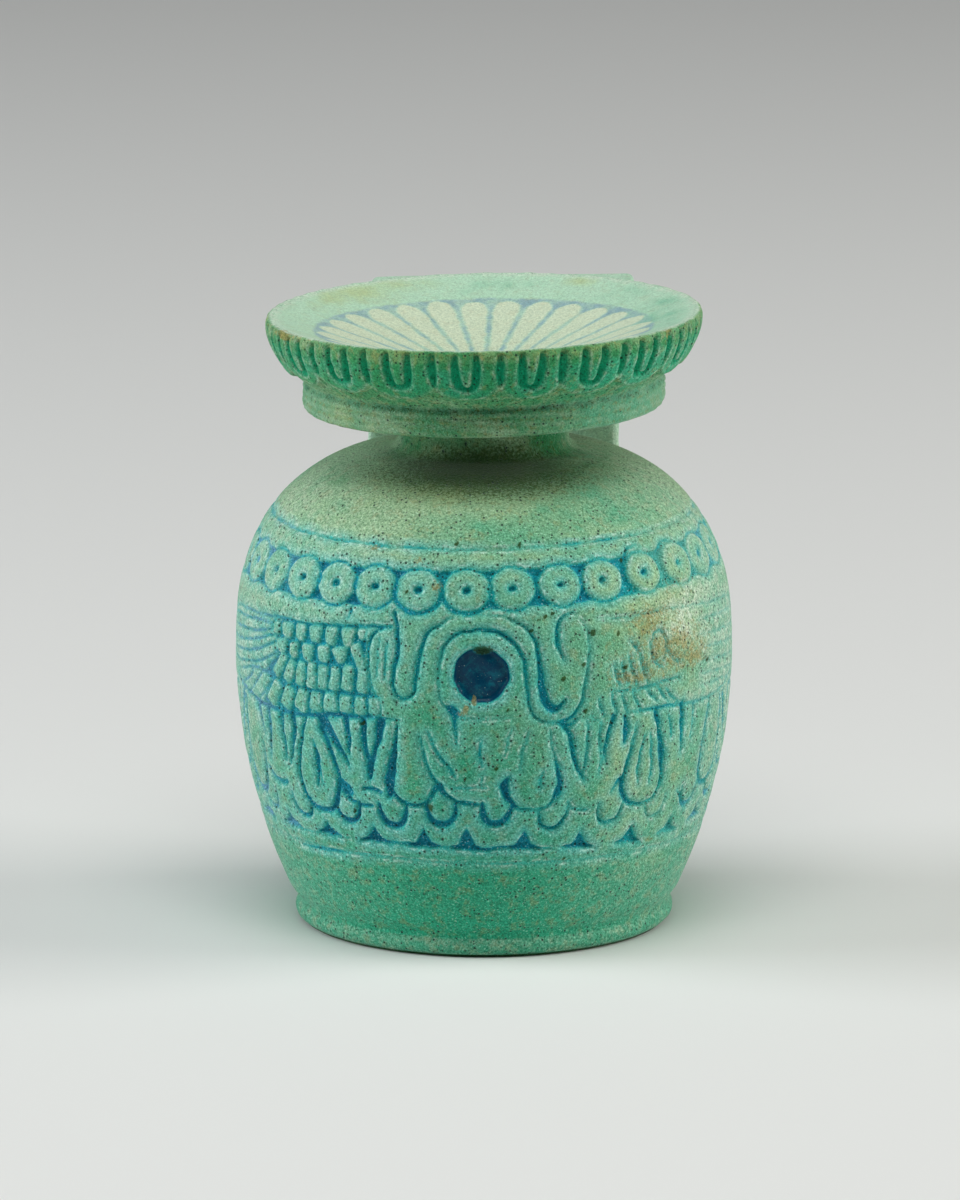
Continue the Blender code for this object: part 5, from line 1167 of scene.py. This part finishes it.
def build_handle(form, material):
    """The strap: a section carried across its width, drawn in at both sides to round its edges.

    The section is a plaque behind the lip that turns down into a band, which bends to the shoulder as the
    square of the share of the way down. Its outer and inner lines have equal counts, so each side is
    closed by a ladder of faces between them.
    """
    # Rounds of the outer bend, the inner bend and the sides, and how far the strap runs into the vessel
    edge, fillet, side, sink, bite = 1.1, 1.6, 0.9, 0.8, 1.0
    half = 0.5 * form.handle_width
    rounding = np.array(cove(half, 0.0, -side, side, 90, 0, 7))
    inner = np.linspace(side - half, half - side, 56)[1:-1]
    across = np.concatenate([-rounding[::-1, 0], inner, rounding[:, 0]])[:, None]
    drawn = np.concatenate([rounding[::-1, 1], np.zeros(inner.shape), rounding[:, 1]])[:, None, None]
    back = form.lip_radius + form.plaque_stand
    front = back - form.handle_thickness
    top = form.height - form.plaque_drop
    below = top - form.plaque_thickness

    def behind(radius):
        return np.sqrt(np.clip(radius ** 2 - across ** 2, 0.0, None))

    def line(start, end, count):
        return start + (end - start) * np.linspace(0.0, 1.0, count)[None, :]

    def joined(*parts):
        """Stretches of a line end to end, each carried to every place across."""
        return np.concatenate([np.broadcast_to(part, (len(across), part.shape[1])) for part in parts], axis=1)

    arc = np.radians(np.linspace(0.0, 90.0, 9))[None, 1:]
    share = np.linspace(0.0, 1.0, 30)[None, 1:]
    seat = behind(form.body_radius(form.handle_foot)) - sink
    bend = back - (back - seat) * share ** 2
    drop = form.collar_bottom - (form.collar_bottom - form.handle_foot) * share
    rim = behind(form.lip_radius - bite)
    wall = np.minimum(behind(form.mouth_radius(below) - bite), front - 2.0 * fillet)
    sides = []
    for start, far, level, turn, gap, foot in ((rim, back, top, edge, 0.3, bend),
                                               (wall, front, below, fillet, 0.2, bend - form.handle_thickness)):
        y = joined(line(start, far - turn, 12), far - turn + turn * np.sin(arc), line(far, far, 18), foot)
        z = joined(line(level, level, 12), level - turn + turn * np.cos(arc),
                   line(level - turn - gap, form.collar_bottom, 18), drop)
        sides.append(np.stack([y, z], axis=-1))
    section = np.concatenate([sides[0], sides[1][:, ::-1]], axis=1)
    ahead = np.roll(section, -1, axis=1) - np.roll(section, 1, axis=1)
    ahead /= np.maximum(np.linalg.norm(ahead, axis=2), 1e-6)[..., None]
    section = section - np.stack([-ahead[..., 1], ahead[..., 0]], axis=-1) * drawn
    y, z = section[..., 0], section[..., 1]
    cos, sin = math.cos(form.handle_turn), math.sin(form.handle_turn)
    points = np.stack([across * cos + y * sin, y * cos - across * sin, z], axis=-1)

    rows, columns = z.shape
    index = np.arange(rows * columns).reshape(rows, columns)
    i, last = np.arange(columns // 2 - 1), columns - 1
    left = np.stack([index[0, i], index[0, i + 1], index[0, last - 1 - i], index[0, last - i]], axis=1)
    right = np.stack([index[-1, i], index[-1, last - i], index[-1, last - 1 - i], index[-1, i + 1]], axis=1)
    # The plaque is a little broader on the +X side than the strap under it
    points[..., 0] += 1.5 * np.clip(points[..., 0] / half, 0.0, 1.0) * ease((z - 59.0) / 4.0)
    points = form.lean(points.reshape(-1, 3))
    thing = mesh_object("strap_handle", points * MM, [quads(index, flipped=True), left, right], material)

    # Small coves where the strap meets the shoulder, and a slight wander all over
    facing = np.empty(points.size, dtype=np.float32)
    thing.data.vertices.foreach_get("normal", facing)
    x, y, z = points.T
    out = np.hypot(x, y) - form.body_radius(np.minimum(z, form.body_height))
    fill = 0.9 * (1.0 - np.clip(out / 1.8, 0.0, 1.0)) ** 2 * (z < form.body_height)
    spin = np.degrees(np.arctan2(x, -y))
    wander = 0.05 * waves(spin, z, 6.0, 14.0) - 0.06
    points = points + facing.reshape(-1, 3) * (fill + wander)[:, None]
    thing.data.vertices.foreach_set("co", (points * MM).astype(np.float32).ravel())
    thing.data.update()
    # Painted light: the strap sits in the mouth's shade, and is given the pale dish glaze and some paleness of
    # rubbing so that it looks lit
    give_values(thing, {"rub": np.full(len(points), 0.25), "dish": np.full(len(points), 0.9),
                        "tone": 0.25 * waves(spin, points[:, 2], 12.0, 3.0)})
    return thing


def add_node(tree, kind, inputs=None, stops=None, **settings):
    """Adds one node. Settings are its own fields, stops are a ramp's (place, colour) pairs, and inputs
    are numbers and colours, or the sockets of other nodes, which are linked."""
    made = tree.nodes.new(kind)
    for name, value in settings.items():
        setattr(made, name, value)
    for number, (place, shade) in enumerate(stops or ()):
        ramp = made.color_ramp.elements
        element = ramp[number] if number < len(ramp) else ramp.new(place)
        element.position = place
        element.color = (*shade, 1.0)
    for name, value in (inputs or {}).items():
        if isinstance(value, bpy.types.NodeSocket):
            tree.links.new(value, made.inputs[name])
        else:
            made.inputs[name].default_value = value
    return made


def empty_material(name):
    """A material without any nodes yet, and its tree."""
    material = bpy.data.materials.new(name)
    material.use_nodes = True
    material.node_tree.nodes.clear()
    return material, material.node_tree


def faience(colours):
    """Glazed faience: crushed quartz, moulded, carved and self-glazed in the kiln.

    The eye gets a matt, sandy green surface with mottling, tiny dirt-filled pits and pale grit, blue-green
    glaze pooled in the cuts, pale edges beside them that are partly rubbed wear and partly painted highlight,
    painted shade under the mouth, painted sheen on the sides, a painted rosette in the dish, and one pool of
    dark glass in the sun disc.
    """
    material, tree = empty_material("glazed_faience")

    def made(kind, inputs=None, stops=None, output=0, **settings):
        return add_node(tree, kind, inputs, stops, **settings).outputs[output]

    def named(name):
        return made("ShaderNodeAttribute", output="Fac", attribute_name=name)

    def sums(operation, first, second):
        return made("ShaderNodeMath", {0: first, 1: second}, operation=operation)

    def plus(first, second):
        return sums("ADD", first, second)

    def times(first, *others):
        for other in others:
            first = sums("MULTIPLY", first, other)
        return first

    def less(first, second):
        return sums("SUBTRACT", first, second)

    def swing(noise, much):
        """A noise taken from its middle, and made larger or smaller."""
        return times(less(noise, 0.5), much)

    def span(value, low, high, start=0.0, end=1.0):
        """Smoothly from the start to the end while a value goes from low to high."""
        return made("ShaderNodeMapRange", {"Value": value, "From Min": low, "From Max": high, "To Min": start,
                                           "To Max": end}, interpolation_type="SMOOTHSTEP")

    def mix(factor, first, second):
        return made("ShaderNodeMix", {0: factor, 2: first, 3: second})

    def blend(factor, first, second, how="MIX"):
        """Lays a colour, or the colour of that name, over another where the factor says."""
        if isinstance(second, str):
            second = (*getattr(colours, second), 1.0)
        return made("ShaderNodeMix", {0: factor, 6: first, 7: second}, output=2, data_type="RGBA", blend_type=how)

    def ramp(value, *stops):
        """Colours by a value, from the sidebar where they are named."""
        stops = [(place, getattr(colours, tint) if isinstance(tint, str) else tint) for place, tint in stops]
        return made("ShaderNodeValToRGB", {0: value}, stops)

    def speckle(size, detail, rough):
        """Noise whose blobs are about a size in millimetres."""
        return made("ShaderNodeTexNoise", {"Vector": place, "Scale": 1.0 / size, "Detail": detail,
                                           "Roughness": rough}, output="Fac")

    place = made("ShaderNodeMapping", {"Vector": made("ShaderNodeTexCoord", output="Object"), "Scale": (1000.0,) * 3})
    level = made("ShaderNodeSeparateXYZ", {0: place}, output="Z")
    patches, clouds, coarse = speckle(9.0, 3.0, 0.55), speckle(3.2, 3.0, 0.6), speckle(1.1, 3.0, 0.65)
    sand, grain = speckle(0.3, 3.0, 0.75), speckle(0.19, 2.0, 0.6)
    cut, pool, leaf, grime, stain = named("cut"), named("pool"), named("leaf"), named("grime"), named("stain")
    dish = named("dish")
    off_leaf = less(1.0, leaf)
    matt = less(1.0, times(dish, 0.6))

    # The ground colour, by height, with mottling
    drift = made("ShaderNodeMapRange", {"Value": plus(level, swing(patches, 26.0)), "From Max": 66.0})
    ground = ramp(drift, (0.0, "lower"), (0.22, "lower"), (0.45, "belly"), (0.62, "belly"), (0.72, "upper"),
                  (0.79, "upper"), (0.86, "leaves"))
    ground = blend(dish, ground, "dish")
    tone = plus(named("tone"), swing(clouds, 1.1))
    ground = blend(span(tone, 0.05, 0.9, 0.0, 0.8), ground, "olive")
    ground = blend(span(tone, -0.05, -0.9, 0.0, 0.8), ground, "fresh")
    brush = swing(coarse, 0.7)
    ground = blend(span(plus(named("petal"), brush), 0.8, 1.3, 0.0, 0.95), ground, "petals")
    painted = times(span(less(named("line"), brush), 0.8, 1.35), span(clouds, 0.34, 0.6, 0.3, 0.9))
    ground = blend(painted, ground, "lines")

    # Brown freckles
    ground = blend(times(span(coarse, 0.49, 0.7, 0.0, 0.34), matt), ground, "ochre")

    # Glaze pooled in the cuts, with a wash and a thin film beside them, and a pale brink that is partly wear and
    # partly a painted highlight
    inside = plus(cut, swing(sand, 0.34))
    run = times(span(inside, -0.7, 0.9), pool, span(clouds, 0.3, 0.65, 0.45, 1.0))
    ground = blend(times(run, 0.8, off_leaf), ground, "wash")
    film = times(span(inside, 0.35, 1.05), pool, plus(0.2, times(off_leaf, 0.65)))
    ground = blend(film, ground, "film")
    depth = times(span(inside, 0.92, 1.2), plus(pool, swing(clouds, 0.5)))
    pooled = ramp(depth, (0.0, "film"), (0.28, "film"), (0.52, "teal"), (0.76, "blue"), (1.0, "deep"))
    pooled = blend(times(named("lilac"), span(clouds, 0.35, 0.6, 0.2, 0.8)), pooled, "lilac")
    pooled = blend(leaf, pooled, "flute")
    filled = times(span(inside, 0.9, 1.16), span(pool, 0.0, 0.6))
    ground = blend(filled, ground, pooled)
    # A pale brink along each cut's edge: partly rubbed wear, partly a painted highlight
    brink_wear_and_highlight = times(span(inside, 0.62, 0.84), span(inside, 1.0, 0.86))
    pale = less(0.5, times(leaf, 0.36))
    ground = blend(times(brink_wear_and_highlight, span(coarse, 0.44, 0.64), pale), ground, "grit_and_highlight")

    # Wear and painted sheen, stains, dirt and painted shade, sand, grit and pits
    # Paler where the glaze is worn thin, and where sheen and highlights are painted: the body's sides, the leaves'
    # sides and ridges, the lip, the foot's ledge and the strap
    worn_and_lit = times(named("rub"), span(sand, 0.38, 0.6, 0.45, 1.0), span(coarse, 0.4, 0.58, 0.45, 1.2))
    ground = blend(times(worn_and_lit, less(1.0, filled)), ground, "rubbed")
    earth = span(plus(stain, swing(speckle(0.8, 5.0, 0.9), 3.2)), 0.4, 1.1, 0.0, 0.75)
    ground = blend(times(earth, span(stain, 0.03, 0.4)), ground, "ochre")
    # Darker with the dirt in the pits and by the lip, and with painted shade under the mouth, on the collar under the
    # leaves and in the foot's corner
    dirt_and_shade = plus(times(grime, 1.5), swing(sand, 4.0))
    ground = blend(times(span(dirt_and_shade, 0.1, 1.3, 0.0, 0.9), span(grime, 0.0, 0.3)), ground, "grime")
    for noise, *stops in ((sand, (0.32, (0.34, 0.46, 0.4)), (0.41, (0.8, 0.85, 0.82)), (0.5, (1.0, 1.0, 1.0)),
                           (0.64, (1.35, 1.26, 1.26))),
                          (grain, (0.36, (0.6, 0.7, 0.65)), (0.46, (0.95, 0.97, 0.96)), (0.52, (1.0, 1.0, 1.0)),
                           (0.64, (1.28, 1.22, 1.22)))):
        ground = blend(matt, ground, ramp(noise, *stops), "MULTIPLY")
    clean = less(1.0, span(grime, 0.05, 0.5, 0.0, 0.85))
    ground = blend(times(span(grain, 0.6, 0.72, 0.0, 0.5), times(matt, off_leaf, clean)), ground, "grit_and_highlight")
    cell = add_node(tree, "ShaderNodeTexVoronoi", {"Vector": place, "Scale": 1.0 / 0.48})
    luck = made("ShaderNodeSeparateColor", {0: cell.outputs["Color"]})
    ragged = plus(times(span(luck, 0.4, 1.0), 0.3, matt), swing(grain, 0.22))
    pit = span(less(ragged, cell.outputs["Distance"]), -0.02, 0.06)
    ground = blend(times(pit, 0.85), ground, "pits")

    # The pool of dark glass in the disc, with crackle in it
    glass = span(named("glass"), 1.0, 1.14)
    web = made("ShaderNodeTexVoronoi", {"Vector": place, "Scale": 1.0 / 0.8}, feature="DISTANCE_TO_EDGE")
    depths = blend(span(web, 0.03, 0.0, 0.0, 0.12), (*colours.glass, 1.0), "teal")
    depths = blend(span(speckle(1.3, 4.0, 0.7), 0.5, 0.8, 0.0, 0.45), depths, "blue")
    depths = blend(span(grain, 0.68, 0.76, 0.0, 0.4), depths, "grit_and_highlight")
    ground = blend(glass, ground, depths)

    # Glaze in the cuts is glossier than the sandy skin, and the glass more so
    rough = mix(glass, mix(filled, span(sand, 0.3, 0.7, 0.58, 0.72), 0.42), 0.24)
    height = less(plus(times(sand, 0.6), times(grain, 0.35)), times(pit, 1.2))
    bump = made("ShaderNodeBump", {"Height": height, "Strength": mix(glass, 0.9, 0.12), "Distance": 0.0003})
    # A dusty skin looks paler where it is seen along the surface, but not where glass fills a cut. Weathered
    # and pitted as it is, it throws back less than fresh glass does
    dust = times(less(1.0, sums("MAXIMUM", filled, glass)), off_leaf, 0.24)
    shader = made("ShaderNodeBsdfPrincipled", {
        "Base Color": ground, "Roughness": rough, "Normal": bump, "Sheen Weight": dust, "Sheen Roughness": 0.3,
        "IOR": 1.5, "Specular IOR Level": 0.14})
    add_node(tree, "ShaderNodeOutputMaterial", {"Surface": shader})
    return material


def shared_material():
    """The one glaze that all pieces are made of."""
    return bpy.data.materials.get("glazed_faience") or faience(bpy.context.scene.flask_colours)


def place_piece(context, build):
    """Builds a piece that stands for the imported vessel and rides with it."""
    piece = build(Form(context.scene.flask_sizes), shared_material())
    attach(piece, "root")
    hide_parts("aryballos")
    return {"FINISHED"}


class FLASK_OT_body(bpy.types.Operator):
    """Build the carved body, with its neck and the hollow inside"""

    bl_idname = "flask.body"
    bl_label = "Build the body"

    def execute(self, context):
        return place_piece(context, build_body)


class FLASK_OT_mouth(bpy.types.Operator):
    """Build the collar, the leaves of the mouth and the painted dish"""

    bl_idname = "flask.mouth"
    bl_label = "Build the mouth"

    def execute(self, context):
        return place_piece(context, build_mouth)


class FLASK_OT_handle(bpy.types.Operator):
    """Build the strap handle behind the mouth"""

    bl_idname = "flask.handle"
    bl_label = "Build the handle"

    def execute(self, context):
        return place_piece(context, build_handle)


def paper():
    """Seamless background paper: matt and pale, with a fine tooth that only shows close to."""
    material, tree = empty_material("background_paper")
    place = add_node(tree, "ShaderNodeTexCoord").outputs["Object"]
    flat = add_node(tree, "ShaderNodeVectorMath", {0: place}, operation="LENGTH").outputs["Value"]
    # Pale near the flask and dark far off, over distances in metres: painted shade for the light falling off across
    # the paper, so that little light comes back from there either
    far = add_node(tree, "ShaderNodeMapRange", {"Value": flat, "From Min": 0.7, "From Max": 1.6},
                   interpolation_type="SMOOTHSTEP").outputs[0]
    shade = add_node(tree, "ShaderNodeMix", {0: far, 6: (*linear("#e4e6e5"), 1.0), 7: (*linear("#5a5b5b"), 1.0)},
                     data_type="RGBA").outputs[2]
    tooth = add_node(tree, "ShaderNodeTexNoise", {"Vector": place, "Scale": 1.0 / 0.0004}).outputs["Fac"]
    bump = add_node(tree, "ShaderNodeBump", {"Height": tooth, "Strength": 0.1, "Distance": 0.00005}).outputs[0]
    shader = add_node(tree, "ShaderNodeBsdfPrincipled", {"Base Color": shade, "Normal": bump, "Roughness": 0.85})
    add_node(tree, "ShaderNodeOutputMaterial", {"Surface": shader.outputs[0]})
    return material


def turn_towards(thing, place, aim):
    """Sets an object down at a place with its own -Z axis towards its aim, as cameras and lights look."""
    way = np.array(aim, dtype=float) - np.array(place, dtype=float)
    thing.location = place
    thing.rotation_euler = (math.acos(-way[2] / np.linalg.norm(way)), 0.0, math.atan2(-way[0], way[1]))


def area_light(name, place, aim, size, power, tint):
    """A soft square light at a place, turned towards its aim, in metres and watts."""
    light = bpy.data.lights.new(name, "AREA")
    light.shape = "SQUARE"
    light.size = size
    light.energy = power
    light.color = linear(tint)
    thing = bpy.data.objects.new(name, light)
    bpy.context.scene.collection.objects.link(thing)
    turn_towards(thing, place, aim)
    thing.visible_camera = False


# The stage, in metres. The floor is flat to its first radius and then rises in a round
FLOOR_FLAT, FLOOR_ROUND, FLOOR_TOP = 1.6, 0.8, 2.4
LIGHTS = (("overhead_softbox", (0.0, -0.34, 0.98), (0.0, 0.0, 0.0), 0.7, 6.2, "#fffdfa"),
          ("left_softbox", (-1.0, -0.02, 0.42), (0.0, 0.0, 0.03), 0.6, 7.8, "#f8fcff"),
          ("right_softbox", (1.0, -0.02, 0.42), (0.0, 0.0, 0.03), 0.6, 7.5, "#fffdf8"))
# The photograph was taken from about a metre away with a long lens, a little from above
CAMERA_AWAY, CAMERA_RISE, CAMERA_BASE, CAMERA_AIM = 1.072, math.radians(12.4), 0.0301, (-0.00043, 0.0, 0.0345)
LENS, SENSOR = 300.0, 36.0


class FLASK_OT_stage(bpy.types.Operator):
    """Build the pale floor, the soft studio lights and the camera"""

    bl_idname = "flask.stage"
    bl_label = "Build the stage"

    def execute(self, context):
        scene = context.scene
        # A floor that curves up all round, well outside every camera: a profile carried round the axis
        turn = np.radians(np.linspace(0.0, 90.0, 16))
        radius = [0.05, 0.3, 0.8, 1.4, *(FLOOR_FLAT + FLOOR_ROUND * np.sin(turn)), FLOOR_TOP]
        height = [0.0, 0.0, 0.0, 0.0, *(FLOOR_ROUND * (1.0 - np.cos(turn))), FLOOR_TOP]
        grid = spun(np.array(radius)[:, None], np.array(height)[:, None],
                    np.linspace(-180.0, 180.0, 96, endpoint=False))
        rows, columns = grid.shape[:2]
        index = np.arange(rows * columns).reshape(rows, columns)
        centre = np.stack([index[0], np.roll(index[0], -1), np.full(columns, rows * columns)], axis=1)
        points = np.concatenate([grid.reshape(-1, 3), np.zeros((1, 3))])
        floor = mesh_object("paper_sweep", points, [quads(index, flipped=True), centre], paper())

        for light in LIGHTS:
            area_light(*light)
        world = bpy.data.worlds.new("soft_room")
        world.use_nodes = True
        room = world.node_tree.nodes["Background"].inputs
        room["Color"].default_value = (*linear("#dfe2e6"), 1.0)
        room["Strength"].default_value = 0.04
        scene.world = world
        scene.view_settings.view_transform = "Standard"

        lens = bpy.data.cameras.new("studio_camera")
        lens.lens, lens.sensor_width = LENS, SENSOR
        lens.clip_start, lens.clip_end = 0.05, 20.0
        camera = bpy.data.objects.new("studio_camera", lens)
        scene.collection.objects.link(camera)
        place = (0.0, -CAMERA_AWAY * math.cos(CAMERA_RISE), CAMERA_BASE + CAMERA_AWAY * math.sin(CAMERA_RISE))
        turn_towards(camera, place, CAMERA_AIM)
        scene.camera = camera
        return {"FINISHED"}


class FLASK_PT_panel(bpy.types.Panel):
    """Lists the steps that build the flask, and its sizes and colours"""

    bl_idname = "FLASK_PT_panel"
    bl_label = "Faience flask"
    bl_space_type = "VIEW_3D"
    bl_region_type = "UI"
    bl_category = "Flask"

    def draw(self, context):
        for step in STEPS:
            self.layout.operator(step.bl_idname)
        for group in (context.scene.flask_sizes, context.scene.flask_colours):
            box = self.layout.box()
            for name in type(group).__annotations__:
                box.prop(group, name)


STEPS = (FLASK_OT_stage, FLASK_OT_body, FLASK_OT_mouth, FLASK_OT_handle)
CLASSES = (FlaskSizes, FlaskColours) + STEPS + (FLASK_PT_panel,)


def register():
    for kind in CLASSES:
        bpy.utils.register_class(kind)
    bpy.types.Scene.flask_sizes = bpy.props.PointerProperty(type=FlaskSizes)
    bpy.types.Scene.flask_colours = bpy.props.PointerProperty(type=FlaskColours)


def unregister():
    del bpy.types.Scene.flask_colours
    del bpy.types.Scene.flask_sizes
    for kind in reversed(CLASSES):
        bpy.utils.unregister_class(kind)


def main():
    register()
    bpy.ops.flask.stage()
    bpy.ops.flask.body()
    bpy.ops.flask.mouth()
    bpy.ops.flask.handle()


if __name__ == "__main__":
    main()
